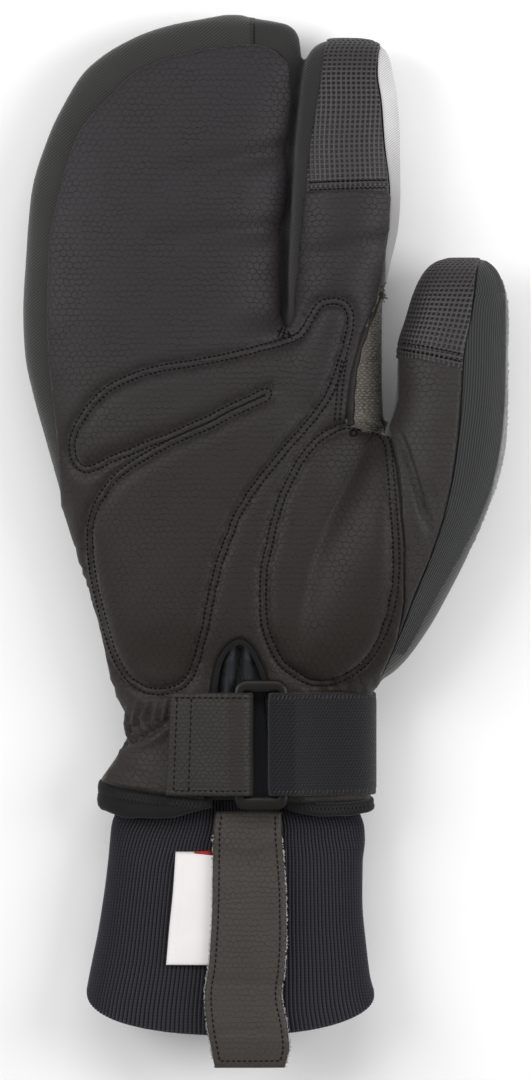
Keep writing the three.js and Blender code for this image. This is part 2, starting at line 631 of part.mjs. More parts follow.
// Strips lying along the cuff: their edges and how far each station is lifted off the knit
const PULL_TAB = table('y left right lift', [
  [-70.0, -12.6, 4.4, 0.6],
  [-75.0, -13.2, 4.4, 0.8],
  [-82.0, -13.3, 4.9, 2.0],
  [-92.0, -13.4, 5.5, 2.3],
  [-102.0, -13.8, 5.6, 2.3],
  [-110.0, -14.4, 5.2, 2.0],
  [-117.0, -15.4, 4.4, 1.6],
  [-125.0, -14.8, 5.8, 1.6],
  [-131.0, -13.8, 6.4, 1.4],
  [-136.8, -12.8, 5.2, 0.8],
]);
const LABEL = table('y left right lift', [
  [-80.4, -23.0, -7.0, 0.8],
  [-90.0, -23.6, -7.0, 0.8],
  [-100.0, -24.6, -8.0, 0.8],
  [-110.6, -25.6, -8.0, 0.8],
]);

function strip(rows, thick) {
  const across = 4;
  const rings = rows.map(({ y, left, right, lift }) => {
    const lower = [];
    for (let i = 0; i <= across; i += 1) {
      const x = left + ((right - left) * i) / across;
      lower.push(new THREE.Vector3(x, y, heightAt(CUFF, x, y) + lift));
    }
    const upper = lower.map((p) => p.clone().setZ(p.z + thick)).reverse();
    return [...lower, ...upper];
  });
  return solid(skin(rings));
}

addMesh('pull_tab', strip(PULL_TAB, PULL_THICK), 'leather');
addMesh('label', strip(LABEL, LABEL_THICK), 'label');

export default group;
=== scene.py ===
# A right-hand trigger mitten lying on its back, palm up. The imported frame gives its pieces;
# this script dresses each one as cloth, leather, knit or plastic. Sizes here are millimetres
# until a mesh is made, which is in metres.
import math

import bpy
import numpy as np
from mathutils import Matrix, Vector
from mathutils.bvhtree import BVHTree
from mathutils.geometry import delaunay_2d_cdt


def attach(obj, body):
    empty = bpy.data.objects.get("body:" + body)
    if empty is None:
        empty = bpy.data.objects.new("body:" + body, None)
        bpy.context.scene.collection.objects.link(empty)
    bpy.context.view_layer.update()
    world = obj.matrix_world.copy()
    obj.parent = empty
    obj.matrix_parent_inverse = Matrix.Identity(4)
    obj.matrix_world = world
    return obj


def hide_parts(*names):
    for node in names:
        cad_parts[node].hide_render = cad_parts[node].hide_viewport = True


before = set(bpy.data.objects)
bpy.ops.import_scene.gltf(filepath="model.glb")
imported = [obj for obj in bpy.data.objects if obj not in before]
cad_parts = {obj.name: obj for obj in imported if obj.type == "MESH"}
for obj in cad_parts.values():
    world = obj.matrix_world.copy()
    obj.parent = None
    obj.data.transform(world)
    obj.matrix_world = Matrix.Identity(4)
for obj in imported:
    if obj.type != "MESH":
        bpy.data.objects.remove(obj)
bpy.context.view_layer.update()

MM = 0.001
ROUND = 2.35          # roundness of the sections, 2 is an ellipse
WALL = 2.4
MIDDLE = 14           # height between palm and back
PALM_SIDE = 15.0      # above this height a face belongs to the palm side
WELL_ABOVE = 200
VOXEL = 0.8           # grain of the shell before it is smoothed
CHUNK = 4000          # points measured against an outline at a time
STITCH_PITCH = 1.25
THREAD = 0.27         # radius of the sewing thread
UP = np.array([0.0, 0.0, 1.0])

# Tone of the view: plain, so that the colours below are the colours seen
scene = bpy.context.scene
scene.view_settings.view_transform = "Standard"


def bell(gap, width):
    return np.exp(-((gap / width) ** 2))


def share_of(value):
    return np.clip(value, 0, 1)


def signed_power(value, exponent):
    """A power that keeps the value's sign."""
    return np.sign(value) * np.abs(value) ** exponent


def stacked(*parts):
    """Arrays side by side, as the last axis of one."""
    return np.stack(parts, axis=-1)


def unit(vectors):
    return vectors / np.maximum(np.linalg.norm(vectors, axis=-1, keepdims=True), 1e-12)


def run_length(line):
    """The way along a line, up to each of its points."""
    return np.concatenate([[0], np.cumsum(np.linalg.norm(np.diff(line, axis=0), axis=1))])


# Camera and lights

PHOTO_PIXELS = (531, 1080)
PHOTO_SCALE = 0.26            # millimetres for each pixel of the frame
CAMERA_DISTANCE = 2.4
AIM = (0.00026, 0.00026, 0.014)
LAMP_AIM = (0.0, 0.0, 0.015)
LAMPS = (
    ("key_left", (-0.75, 0.25, 0.75), (0.5, 0.9), 6.5),
    ("key_right", (0.8, 0.1, 0.6), (0.4, 0.9), 6.0),
    ("top_soft", (0.0, 0.7, 1.1), (0.9, 0.5), 3.4))
WORLD_LIGHT = 0.4
FLOOR_HALF = 2.5


def linked(name, data):
    made = bpy.data.objects.new(name, data)
    scene.collection.objects.link(made)
    return made


def add_camera():
    data = bpy.data.cameras.new("camera")
    data.sensor_fit = "VERTICAL"
    data.sensor_height = 24.0
    data.lens = data.sensor_height * CAMERA_DISTANCE / (PHOTO_PIXELS[1] * PHOTO_SCALE * MM)
    data.clip_start = 0.05
    data.clip_end = 20.0
    camera = linked("camera", data)
    camera.location = (AIM[0], AIM[1], AIM[2] + CAMERA_DISTANCE)
    scene.camera = camera


def area_light(name, place, size, power):
    data = bpy.data.lights.new(name, "AREA")
    data.shape = "RECTANGLE"
    data.size, data.size_y = size
    data.energy = power
    lamp = linked(name, data)
    lamp.location = place
    lamp.rotation_euler = (Vector(LAMP_AIM) - Vector(place)).to_track_quat("-Z", "Y").to_euler()


def add_lights():
    world = bpy.data.worlds.new("studio")
    world.use_nodes = True
    sky = world.node_tree.nodes["Background"].inputs
    sky["Color"].default_value = (1.0, 1.0, 1.0, 1.0)
    sky["Strength"].default_value = WORLD_LIGHT
    scene.world = world
    for lamp in LAMPS:
        area_light(*lamp)


def dim(tone, share):
    return tuple(share * c for c in tone)


class Shade:
    """A node tree for one material, built socket by socket."""

    def __init__(self, name):
        self.material = bpy.data.materials.new(name)
        self.material.use_nodes = True
        self.tree = self.material.node_tree
        self.shader = self.tree.nodes["Principled BSDF"]

    def node(self, kind, values=None, **settings):
        made = self.tree.nodes.new("ShaderNode" + kind)
        for key, value in settings.items():
            setattr(made, key, value)
        for key, value in (values or {}).items():
            self.put(made.inputs[key], value)
        return made

    def put(self, socket, value):
        if isinstance(value, bpy.types.NodeSocket):
            self.tree.links.new(value, socket)
        else:
            socket.default_value = value

    def set(self, **values):
        for key, value in values.items():
            self.put(self.shader.inputs[key.replace("_", " ")], value)

    def math(self, operation, a, b=0.0):
        return self.node("Math", {0: a, 1: b}, operation=operation).outputs[0]

    def times(self, a, b):
        return self.math("MULTIPLY", a, b)

    def plus(self, a, b):
        return self.math("ADD", a, b)

    def rest(self, share):
        """What is left of 1."""
        return self.math("SUBTRACT", 1.0, share)

    def wave(self, value, pitch):
        """A cosine with one crest in each pitch."""
        return self.math("COSINE", self.times(value, math.tau / pitch))

    def vector(self, operation, a, b=None, c=None, scale=None):
        made = self.node("VectorMath", {0: a}, operation=operation)
        for slot, value in ((1, b), (2, c), (3, scale)):
            if value is not None:
                self.put(made.inputs[slot], value)
        return made.outputs[1 if operation == "DOT_PRODUCT" else 0]

    def place(self, turn=0.0):
        """Object coordinates in millimetres, turned about Z."""
        coordinates = self.node("TexCoord").outputs["Object"]
        values = {"Vector": coordinates, "Rotation": (0.0, 0.0, turn), "Scale": (1.0 / MM,) * 3}
        return self.node("Mapping", values).outputs[0]

    def uv(self):
        """The piece's own surface coordinates, in millimetres."""
        return self.node("UVMap").outputs["UV"]

    def axes(self, vector):
        return self.node("SeparateXYZ", {"Vector": vector}).outputs

    def noise(self, vector, scale, detail=3.0, roughness=0.55):
        values = {"Vector": vector, "Scale": scale, "Detail": detail, "Roughness": roughness}
        return self.node("TexNoise", values).outputs[0]

    def ramp(self, value, low, high, out_low=0.0, out_high=1.0):
        values = {0: value, 1: low, 2: high, 3: out_low, 4: out_high}
        return self.node("MapRange", values, interpolation_type="SMOOTHSTEP").outputs[0]

    def mix(self, factor, a, b):
        values = {0: factor, 6: (*a, 1.0) if isinstance(a, tuple) else a}
        values[7] = (*b, 1.0) if isinstance(b, tuple) else b
        return self.node("Mix", values, data_type="RGBA").outputs[2]

    def finish(self, colour, rough, specular, height, depth, sheen=0.0, nap=0.5):
        """The material, with its colour, gloss, relief and the sheen of its nap."""
        self.set(Base_Color=colour, Roughness=rough, Specular_IOR_Level=specular)
        self.set(Normal=self.bump(height, depth), Sheen_Weight=sheen, Sheen_Roughness=nap)
        return self.material

    def gloss(self, grain, low, high):
        return self.ramp(grain, 0.3, 0.7, low, high)

    def bump(self, height, depth):
        """Bump of a height from 0 to 1, depth in millimetres."""
        return self.node("Bump", {"Height": height, "Distance": depth * MM, "Strength": 1.0}).outputs[0]


def cell_edges(shade, place, cell, wander=1.1):
    """Distance from the nearest side of uneven six-sided cells, as a share of a cell."""
    shake = shade.node("TexNoise", {"Vector": place, "Scale": 0.62 / cell, "Detail": 1.0}).outputs[1]
    offset = shade.vector("SUBTRACT", shake, (0.5, 0.5, 0.5))
    cells = shade.vector("SCALE", place, scale=1.0 / cell)
    moved = shade.vector("ADD", cells, shade.vector("SCALE", offset, scale=wander))
    flat = shade.vector("MULTIPLY", moved, (1.0, 1.0, 0.0))
    slant = (0.5, 0.8660254, 0.0)
    half = (*slant[:2], 1.0)
    back = tuple(-v for v in half)
    first = shade.vector("WRAP", flat, half, back)
    second = shade.vector("WRAP", shade.vector("SUBTRACT", flat, slant), half, back)
    far_first, far_second = (shade.vector("DOT_PRODUCT", v, v) for v in (first, second))
    nearer = shade.math("LESS_THAN", far_second, far_first)
    chosen = shade.node("Mix", {0: nearer, 4: first, 5: second}, data_type="VECTOR").outputs[1]
    spot = shade.vector("ABSOLUTE", chosen)
    slope = shade.vector("DOT_PRODUCT", spot, slant)
    width = shade.axes(spot)[0]
    return shade.math("SUBTRACT", 0.5, shade.math("MAXIMUM", slope, width))


def leather_material(name, tone, cell=1.75, crease_depth=0.05, rough=0.5, sheen=0.04, low=0.45, upper=None,
                     squeeze=1.0, line=0.1):
    """Pebbled leather: small flat cells parted by thin creases, over a fine grain. The creases are painted
    dark as shade.
    """
    shade = Shade(name)
    place = shade.vector("MULTIPLY", shade.uv(), (squeeze, 1.0, 1.0))
    flat = shade.ramp(cell_edges(shade, place, cell), 0.0, line)
    solid = shade.place()
    patch = shade.noise(solid, 0.045, 3.0)
    grain = shade.noise(solid, 2.4, 4.0, 0.65)
    fade = shade.ramp(shade.noise(solid, 0.11, 2.0), 0.3, 0.7, 0.55, 1.0)
    crease = shade.rest(shade.times(shade.rest(flat), fade))
    base = tone
    # Painted sheen: towards the fingers the tone blends to the lighter, bluer upper tone
    if upper is not None:
        height = shade.axes(solid)[1]
        base = shade.mix(shade.ramp(height, -45.0, 115.0), tone, upper)
    light = shade.mix(shade.ramp(patch, 0.35, 0.65, 0.0, 0.16), base, dim(tone, 1.5))
    grained = shade.mix(shade.ramp(grain, 0.3, 0.75, 0.0, 0.3), light, dim(tone, 1.5))
    # Painted shade: the creases between the cells are darkened to low times the tone
    colour = shade.mix(crease, dim(tone, low), grained)
    height = shade.plus(crease, shade.times(grain, 0.3))
    gloss = shade.gloss(grain, rough - 0.05, rough + 0.08)
    return shade.finish(colour, gloss, 0.22, height, crease_depth, sheen)


def waffle_material(name, tone, pitch=1.27):
    """Leather pressed with a grid of small square pits."""
    shade = Shade(name)
    split = shade.axes(shade.uv())
    waves = []
    for axis in (0, 1):
        wave = shade.wave(split[axis], 2 * pitch)
        waves.append(shade.ramp(shade.times(wave, wave), 0.2, 0.5))
    pit = shade.times(waves[0], waves[1])
    grain = shade.noise(shade.place(), 2.2, 3.0)
    # Painted shade: the pits are darkened and the grid between them is lightened
    colour = shade.mix(pit, dim(tone, 1.6), dim(tone, 0.15))
    return shade.finish(colour, shade.gloss(grain, 0.4, 0.5), 0.34, shade.rest(pit), 0.12)


def ribbed_material(name, tone, pitch, low=0.45, depth=0.05, rough=0.85, sheen=0.3):
    """Cloth with fine ribs down its length."""
    shade = Shade(name)
    ridge = shade.ramp(shade.wave(shade.axes(shade.uv())[0], pitch), -1.0, 1.0)
    grain = shade.noise(shade.place(), 3.0, 3.0)
    # Painted shade: the grooves between the ribs are darkened
    colour = shade.mix(ridge, dim(tone, low), dim(tone, 1.2))
    height = shade.plus(ridge, shade.times(grain, 0.5))
    return shade.finish(colour, rough, 0.25, height, depth, sheen, 0.4)


def twill_material(name, tone, pitch=0.65, turn=math.radians(-40), sheen=0.25, depth=0.07, rough=0.8,
                   lower=1.0):
    """Twill softshell: fine diagonal wales. lower darkens the tone towards the wrist as painted shade."""
    shade = Shade(name)
    place = shade.place(turn)
    wales = shade.node(
        "TexWave", {"Vector": place, "Scale": 0.314 / pitch, "Distortion": 0.4, "Detail": 1.0},
        wave_type="BANDS", bands_direction="Y").outputs[1]
    threads = shade.noise(place, 2.2, 2.0)
    patch = shade.noise(place, 0.05, 3.0)
    height = shade.plus(wales, shade.times(threads, 0.5))
    dark = dim(tone, 0.62)
    light = dim(tone, 1.3)
    # Painted shade: the colour darkens where the wales lie low and lightens on their crests
    colour = shade.mix(shade.ramp(height, 0.2, 1.2), dark, light)
    wear_and_shade = shade.mix(shade.ramp(patch, 0.4, 0.75, 0.0, 0.35), colour, dim(tone, 1.5))
    # Painted shade: below the panel's upper part the tone darkens towards lower times the tone
    if lower != 1.0:
        height = shade.axes(shade.place())[1]
        wear_and_shade = shade.mix(shade.ramp(height, 82.0, 108.0), dim(tone, lower), wear_and_shade)
    return shade.finish(wear_and_shade, rough, 0.25, height, depth, sheen, 0.45)


def weave_material(name, tone, pitch=0.95, slant=0.62):
    """Woven elastic: short diagonal rows that turn from one lengthwise rib to the next."""
    shade = Shade(name)
    split = shade.axes(shade.uv())
    along, across = split[0], split[1]
    lean = shade.plus(along, shade.times(across, slant))
    ribs = shade.times(shade.wave(across, 0.8), 0.7)
    height = shade.ramp(shade.plus(shade.wave(lean, pitch), ribs), -1.4, 1.4)
    # Painted shade: the low rows of the weave are darkened and the raised ones lightened
    colour = shade.mix(height, dim(tone, 0.2), dim(tone, 1.5))
    return shade.finish(colour, 0.8, 0.25, height, 0.18, 0.12)


def knit_material(name, tone, pitch=0.8):
    """Rib knit: faint rows of stitches, each one a small slanted loop."""
    shade = Shade(name)
    place = shade.place()
    rib = shade.axes(shade.uv())[0]
    crease = shade.ramp(shade.wave(rib, 1.0), -0.95, 0.1)
    split = shade.axes(place)
    sway = shade.times(shade.math("SINE", shade.times(split[0], math.tau / 1.1)), 0.9)
    rise = shade.plus(shade.times(split[1], math.tau / pitch), sway)
    loops = shade.ramp(shade.math("SINE", rise), -1.0, 1.0)
    grain = shade.noise(place, 2.6, 3.0)
    height = shade.plus(loops, shade.times(grain, 0.8))
    # Painted shade: the loops are darker where they lie low and the creases between the ribs are dark
    ridge = shade.mix(shade.ramp(height, 0.2, 1.5), dim(tone, 0.95), dim(tone, 1.4))
    colour = shade.mix(crease, dim(tone, 0.3), ridge)
    return shade.finish(colour, 0.92, 0.2, height, 0.05, 0.3, 0.45)


def plain_material(name, tone, rough, grain_scale=1.6, depth=0.03, specular=0.4, sheen=0.0, spread=0.15):
    """One tone with soft patches and a fine grain."""
    shade = Shade(name)
    place = shade.place()
    grain = shade.noise(place, grain_scale, 4.0)
    patch = shade.noise(place, 0.12, 2.0)
    dark, light = (dim(tone, k) for k in (1 - spread, 1 + spread))
    colour = shade.mix(shade.ramp(patch, 0.3, 0.7), dark, light)
    gloss = shade.gloss(grain, rough - 0.05, rough + 0.05)
    return shade.finish(colour, gloss, specular, grain, depth, sheen, 0.4)


# The form: sections across each limb

COLUMNS = ("y", "left", "right", "back", "palm", "seam_left", "seam_right", "bow", "lean", "gather")
HAND_ROWS = [
    (137.0, -10.5, -5.9, 11.0, 13.0, -3.0, -2.4),
    (136.0, -15.5, -2.7, 9.2, 15.0, -3.0, -2.4),
    (134.4, -24.0, 6.0, 7.6, 17.0, -3.0, -2.4),
    (131.8, -32.1, 8.7, 6.2, 18.6, -3.0, -2.4),
    (129.4, -37.0, 9.3, 5.3, 19.6, -4.0, -2.0),
    (126.6, -41.7, 9.5, 4.6, 20.4, -20.5, 4.6),
    (121.4, -47.5, 9.2, 3.6, 21.4, -33.5, 6.6),
    (116.2, -50.8, 8.7, 3.0, 22.3, -39.0, 6.7),
    (105.8, -56.0, 7.4, 2.0, 23.6, -47.8, 5.9),
    (90.2, -60.7, 6.4, 1.0, 25.2, -53.0, 5.1),
    (74.6, -62.0, 5.6, 0.0, 26.6, -55.8, 3.9),
    (59.0, -62.8, 5.6, -1.0, 28.0, -56.0, 3.6),
    (48.6, -62.3, 20.0, -1.5, 29.0, -55.7, 3.6),
    (38.2, -60.2, 26.5, -1.5, 30.0, -54.7, 3.6),
    (27.8, -57.3, 31.0, -1.5, 31.0, -53.5, 3.6),
    (12.2, -52.9, 33.0, -1.5, 31.2, -52.2, 3.6),
    (-3.4, -48.2, 34.0, -1.5, 31.2, -48.6, 3.6),
    (-19.0, -43.8, 33.5, -1.5, 30.6, -44.2, 3.6, 1),
    (-34.6, -39.6, 31.4, 3.0, 27.0, -40.2, 3.6, 2, 0, 0.3),
    (-39.8, -37.8, 28.0, 3.2, 27.0, -38.4, 3.6, 3, 0, 0.7),
    (-45.0, -35.7, 27.6, 3.2, 27.0, -36.3, 3.6, 4, 0, 1.0),
    (-50.2, -35.5, 27.6, 3.2, 27.0, -36.1, 3.6, 4, 0.6, 1.0),
    (-55.4, -37.4, 27.6, 3.2, 27.0, -38.0, 3.6, 4, 1.4, 0.8),
    (-64.0, -42.6, 27.7, 3.2, 27.2, -43.0, 3.6, 3, 2.2, 0.3),
]
INDEX_ROWS = [
    (130.4, 18.4, 23.4, 11.5, 13.5, 16.0, 30.8),
    (129.6, 14.6, 28.6, 9.4, 16.6, 16.0, 30.6),
    (126.8, 11.6, 31.8, 6.6, 20.4, 15.4, 29.4),
    (121.4, 9.9, 33.2, 4.8, 23.4, 14.6, 29.0),
    (114.0, 9.0, 34.4, 3.9, 25.0, 13.6, 30.0),
    (103.0, 8.0, 35.0, 3.0, 26.2, 11.8, 30.8),
    (90.2, 7.2, 35.1, 2.2, 27.2, 10.6, 32.2),
    (82.0, 6.8, 34.6, 1.5, 27.8, 9.9, 32.0),
    (71.0, 6.2, 32.2, 0.4, 28.2, 8.9, 30.4),
    (62.0, 6.0, 30.6, -0.6, 28.4, 8.2, 28.4),
    (52.0, 3.0, 30.5, -1.2, 28.2, 7.8, 24.6),
    (42.0, -2.0, 30.5, -1.5, 28.6, 7.8, 22.2),
    (30.0, -4.0, 31.0, -1.5, 29.0, 7.8, 20.6),
]
THUMB_COLUMNS = ("y", "left", "right", "back", "palm", "seam_left", "seam_right", "wipe")
THUMB_ROWS = [
    (73.3, 48.6, 56.4, 17.5, 20.5, 30, 56.2, 62.4),
    (71.8, 44.2, 58.8, 14.8, 24.2, 30, 55.4, 62.4),
    (69.4, 41.7, 60.7, 12.4, 27.6, 30, 54.8, 62.4),
    (64.2, 39.1, 62.4, 9.8, 31.0, 30, 54.2, 62.4),
    (58.0, 37.2, 63.0, 8.2, 33.0, 30, 53.2, 62.4),
    (48.6, 34.6, 62.8, 6.6, 34.6, 30, 51.4, 62.4),
    (38.2, 34.2, 62.8, 5.2, 35.6, 30, 50.8, 62.2),
    (27.8, 31.0, 62.5, 3.8, 36.2, 32.6, 50.0, 61.4),
    (17.4, 24.0, 60.7, 2.4, 36.6, 34.4, 48.6, 59.6),
    (7.0, 17.0, 57.1, 1.0, 36.8, 35.2, 46.4, 56.2),
    (-3.4, 11.0, 52.9, -0.5, 36.4, 35.8, 43.0, 51.0),
    (-13.8, 7.0, 47.7, -1.5, 35.2, 35.7, 38.8, 45.0),
    (-24.2, 4.0, 41.7, -1.5, 33.0, 34.0, 34.8, 39.4),
    (-34.6, 2.0, 33.0, 2.6, 27.4, 29.8, 30.4, 33.2),
    (-38.6, 2.0, 24.0, 5.0, 23.6, 27.8, 28.4, 30.0),
]
CUFF_COLUMNS = ("y", "left", "right", "back", "palm", "bow", "lean")
CUFF_ROWS = [
    (-62.5, -34.6, 21.6, 6.8, 21.8, 3, 2.2),
    (-72.4, -38.2, 25.9, 6.2, 22.8, 3, 2.2),
    (-75.4, -39.4, 26.0, 3.0, 24.0, 4, 2.0),
    (-82.0, -40.2, 25.4, -0.8, 27.0, 5, 1.5),
    (-91.8, -41.5, 25.6, -1.0, 28.6, 7, 1.0),
    (-102.2, -43.0, 26.4, -1.0, 30.0, 8, 0.5),
    (-112.6, -45.4, 27.6, -1.0, 31.6, 9, 0),
    (-118.0, -46.6, 29.2, -1.0, 32.6, 10, 0),
]


class Form:
    """A limb: its sections' edges as smooth functions of y. Values left out of a row are 0."""

    def __init__(self, names, rows):
        data = np.array([row + (0,) * (len(names) - len(row)) for row in rows], float)[::-1]
        self.y = data[:, 0]
        self.columns = {name: data[:, i] for i, name in enumerate(names)}

    def at(self, name, y):
        y = np.clip(np.asarray(y, float), self.y[0], self.y[-1])
        if name not in self.columns:
            return np.zeros_like(y)
        v = self.columns[name]
        slopes = np.diff(v) / np.diff(self.y)
        before, after = slopes[:-1], slopes[1:]
        same = before * after > 0
        total = np.where(same, before + after, 1.0)
        inner = np.where(same, 2 * before * after / total, 0.0)
        tangents = np.concatenate([slopes[:1], inner, slopes[-1:]])
        i = np.clip(np.searchsorted(self.y, y, side="right") - 1, 0, len(v) - 2)
        h = self.y[i + 1] - self.y[i]
        t = (y - self.y[i]) / h
        a = (2 * t**3 - 3 * t**2 + 1) * v[i] + (t**3 - 2 * t**2 + t) * h * tangents[i]
        return a + (3 * t**2 - 2 * t**3) * v[i + 1] + (t**3 - t**2) * h * tangents[i + 1]

    def section(self, y, angle, grow=0.0, floor=0.0, relief=0.0):
        """Points at the angles round the sections at y. grow moves them outwards."""
        y, angle = np.broadcast_arrays(np.asarray(y, float), np.asarray(angle, float))
        left = self.at("left", y) - grow
        right = self.at("right", y) + grow
        back = self.at("back", y) - grow
        palm = self.at("palm", y) + grow
        c, s = np.cos(angle), np.sin(angle)
        fold = -self.at("gather", y) * (0.5 + 0.5 * np.cos(9 * angle)) * np.maximum(0, -c)
        bulge = 1 + (fold + relief) / 20
        half_x = np.maximum(0.3, (right - left) / 2) * bulge
        half_z = np.maximum(0.3, (palm - back) / 2) * bulge
        x = (left + right) / 2 + half_x * signed_power(c, 2 / ROUND)
        z = (back + palm) / 2 + half_z * signed_power(s, 2 / ROUND)
        drawn = self.at("bow", y) * np.where(s > 0, s, 0.3 * s) + self.at("lean", y) * c
        return stacked(x, y - drawn, np.maximum(z, floor))

    def cosine_at(self, y, x):
        """Cosine of the angle where the section's surface has this x."""
        left, right = self.at("left", y), self.at("right", y)
        return signed_power(np.clip((2 * x - left - right) / (right - left), -1, 1), ROUND / 2)

    def angle_at(self, y, x):
        """That angle, on the palm side."""
        return np.arccos(self.cosine_at(y, x))


HAND = Form(COLUMNS, HAND_ROWS)
INDEX = Form(COLUMNS, INDEX_ROWS)
THUMB = Form(THUMB_COLUMNS, THUMB_ROWS)
CUFF = Form(CUFF_COLUMNS, CUFF_ROWS)


# Meshes

def add_piece(name, points, faces, material, replaces=(), uv=None):
    """A piece from points in millimetres. It rides on the mitten's one body."""
    name = name + "_cloth" if replaces else name
    mesh = bpy.data.meshes.new(name)
    mesh.from_pydata([tuple(p) for p in np.asarray(points) * MM], [], [tuple(f) for f in faces])
    mesh.materials.append(material)
    mesh.polygons.foreach_set("use_smooth", [True] * len(mesh.polygons))
    if uv is not None:
        layer = mesh.uv_layers.new(name="surface")
        corners = np.empty(len(mesh.loops), int)
        mesh.loops.foreach_get("vertex_index", corners)
        layer.data.foreach_set("uv", np.asarray(uv, float)[corners].ravel())
    mesh.validate()
    mesh.update()
    piece = linked(name, mesh)
    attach(piece, "root")
    if replaces:
        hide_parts(*replaces)
    return piece


def apply_modifiers(piece):
    graph = bpy.context.evaluated_depsgraph_get()
    result = bpy.data.meshes.new_from_object(piece.evaluated_get(graph))
    old = piece.data
    piece.modifiers.clear()
    piece.data = result
    bpy.data.meshes.remove(old)


def thicken(piece, thick):
    """Gives a sheet its thickness, inwards from the face that shows."""
    modifier = piece.modifiers.new("wall", "SOLIDIFY")
    modifier.thickness = thick * MM
    modifier.offset = -1.0
    modifier.use_even_offset = False
    apply_modifiers(piece)


def grid_faces(rows, columns, closed=False):
    faces = []
    last = columns if closed else columns - 1
    for r in range(rows - 1):
        for c in range(last):
            d = (c + 1) % columns
            faces.append((r * columns + c, r * columns + d, (r + 1) * columns + d, (r + 1) * columns + c))
    return faces


def shifted(faces, start):
    return [tuple(start + i for i in face) for face in faces]


def turned(faces):
    return [tuple(reversed(face)) for face in faces]


def facing_out(points, faces, middle):
    """Faces and normals that look away from the middle."""
    normals = vertex_normals(points, faces)
    if np.sum(normals * (points - middle)) < 0:
        return turned(faces), -normals
    return faces, normals


def capped_faces(rings, around):
    """Faces of a tube of rings, shut at both ends."""
    faces = grid_faces(rings, around, closed=True)
    faces.append(tuple(reversed(range(around))))
    faces.append(tuple(range((rings - 1) * around, rings * around)))
    return faces


def loft_grid(form, ys, angles, **options):
    return form.section(np.asarray(ys)[:, None], np.asarray(angles)[None, :], **options)


def closed_loft(form, spacing, around, grow=0.0, floor=0.0, end=0.0):
    """Points and faces of a limb, shut at both ends. end lengthens its lower end."""
    top, bottom = form.y[-1], form.y[0]
    fine = top - np.linspace(0, 1, 14) ** 2 * 9.0
    ys = np.concatenate([fine, np.arange(top - 9.0 - spacing, bottom, -spacing), [bottom]])
    if grow < 0:
        ys = ys[ys < top + grow]
    grid = loft_grid(form, ys, np.arange(around) / around * math.tau, grow=grow, floor=floor)
    if end:
        grid = np.concatenate([grid, grid[-1:] - [0, end, 0]])
    count = len(grid)
    points = np.concatenate([grid.reshape(-1, 3), [grid[0].mean(0), grid[-1].mean(0)]])
    faces = grid_faces(count, around, closed=True)
    a, b = count * around, count * around + 1
    last = (count - 1) * around
    for c in range(around):
        d = (c + 1) % around
        faces.append((a, d, c))
        faces.append((b, last + c, last + d))
    return points, faces


def united(name, lofts, voxel, smoothing):
    """The lofts grown into one skin."""
    points, faces = [], []
    for loft_points, loft_faces in lofts:
        start = sum(len(p) for p in points)
        points.append(loft_points)
        faces += shifted(loft_faces, start)
    mesh = bpy.data.meshes.new(name)
    mesh.from_pydata([tuple(p) for p in np.concatenate(points) * MM], [], faces)
    piece = linked(name, mesh)
    remesh = piece.modifiers.new("skin", "REMESH")
    remesh.mode = "VOXEL"
    remesh.voxel_size = voxel * MM
    remesh.use_smooth_shade = True
    relax = piece.modifiers.new("relax", "SMOOTH")
    relax.factor = 0.5
    relax.iterations = smoothing
    apply_modifiers(piece)
    return piece


def mesh_arrays(mesh):
    points = np.empty(len(mesh.vertices) * 3)
    mesh.vertices.foreach_get("co", points)
    faces = [tuple(p.vertices) for p in mesh.polygons]
    return points.reshape(-1, 3) / MM, faces


def surface_tree(piece):
    points, faces = mesh_arrays(piece.data)
    return BVHTree.FromPolygons([tuple(p) for p in points], faces)


def dropped(tree, xy):
    """Where plumb lines from above meet a surface, with its normals there."""
    down = Vector((0, 0, -1))
    points, normals = [], []
    for x, y in xy:
        hit, normal, _, _ = tree.ray_cast(Vector((x, y, WELL_ABOVE)), down)
        if hit is None:
            hit, normal, _, _ = tree.find_nearest(Vector((x, y, MIDDLE)))
        points.append(hit)
        normals.append(normal)
    return np.array(points), np.array(normals)


def nearest(tree, points):
    found, normals = [], []
    for p in points:
        hit, normal, _, _ = tree.find_nearest(Vector(p))
        found.append(hit)
        normals.append(normal)
    return np.array(found), np.array(normals)


# Plan outlines

def smooth_curve(corners, spacing, closed=True):
    """Points spaced evenly along a Catmull-Rom curve through the corners."""
    p = np.array(corners, float)
    if closed:
        p = np.concatenate([p[-1:], p, p[:2]])
    else:
        p = np.concatenate([2 * p[:1] - p[1:2], p, 2 * p[-1:] - p[-2:-1]])
    t = np.linspace(0, 1, 24, endpoint=False)[:, None]
    pieces = []
    for a, b, c, d in zip(p[:-3], p[1:-2], p[2:-1], p[3:]):
        cubic = -a + 3 * b - 3 * c + d
        square = 2 * a - 5 * b + 4 * c - d
        pieces.append(0.5 * (2 * b + (c - a) * t + square * t**2 + cubic * t**3))
    line = np.concatenate(pieces + ([] if closed else [p[-2:-1]]))
    return spaced(line, spacing, closed)


def spaced(line, spacing, closed=False):
    """The line's points moved to an even spacing."""
    path = np.concatenate([line, line[:1]]) if closed else np.asarray(line, float)
    steps = run_length(path)
    count = max(2, round(steps[-1] / spacing))
    at = np.linspace(0, steps[-1], count + (0 if closed else 1), endpoint=not closed)
    return np.stack([np.interp(at, steps, path[:, i]) for i in range(path.shape[1])], axis=-1)


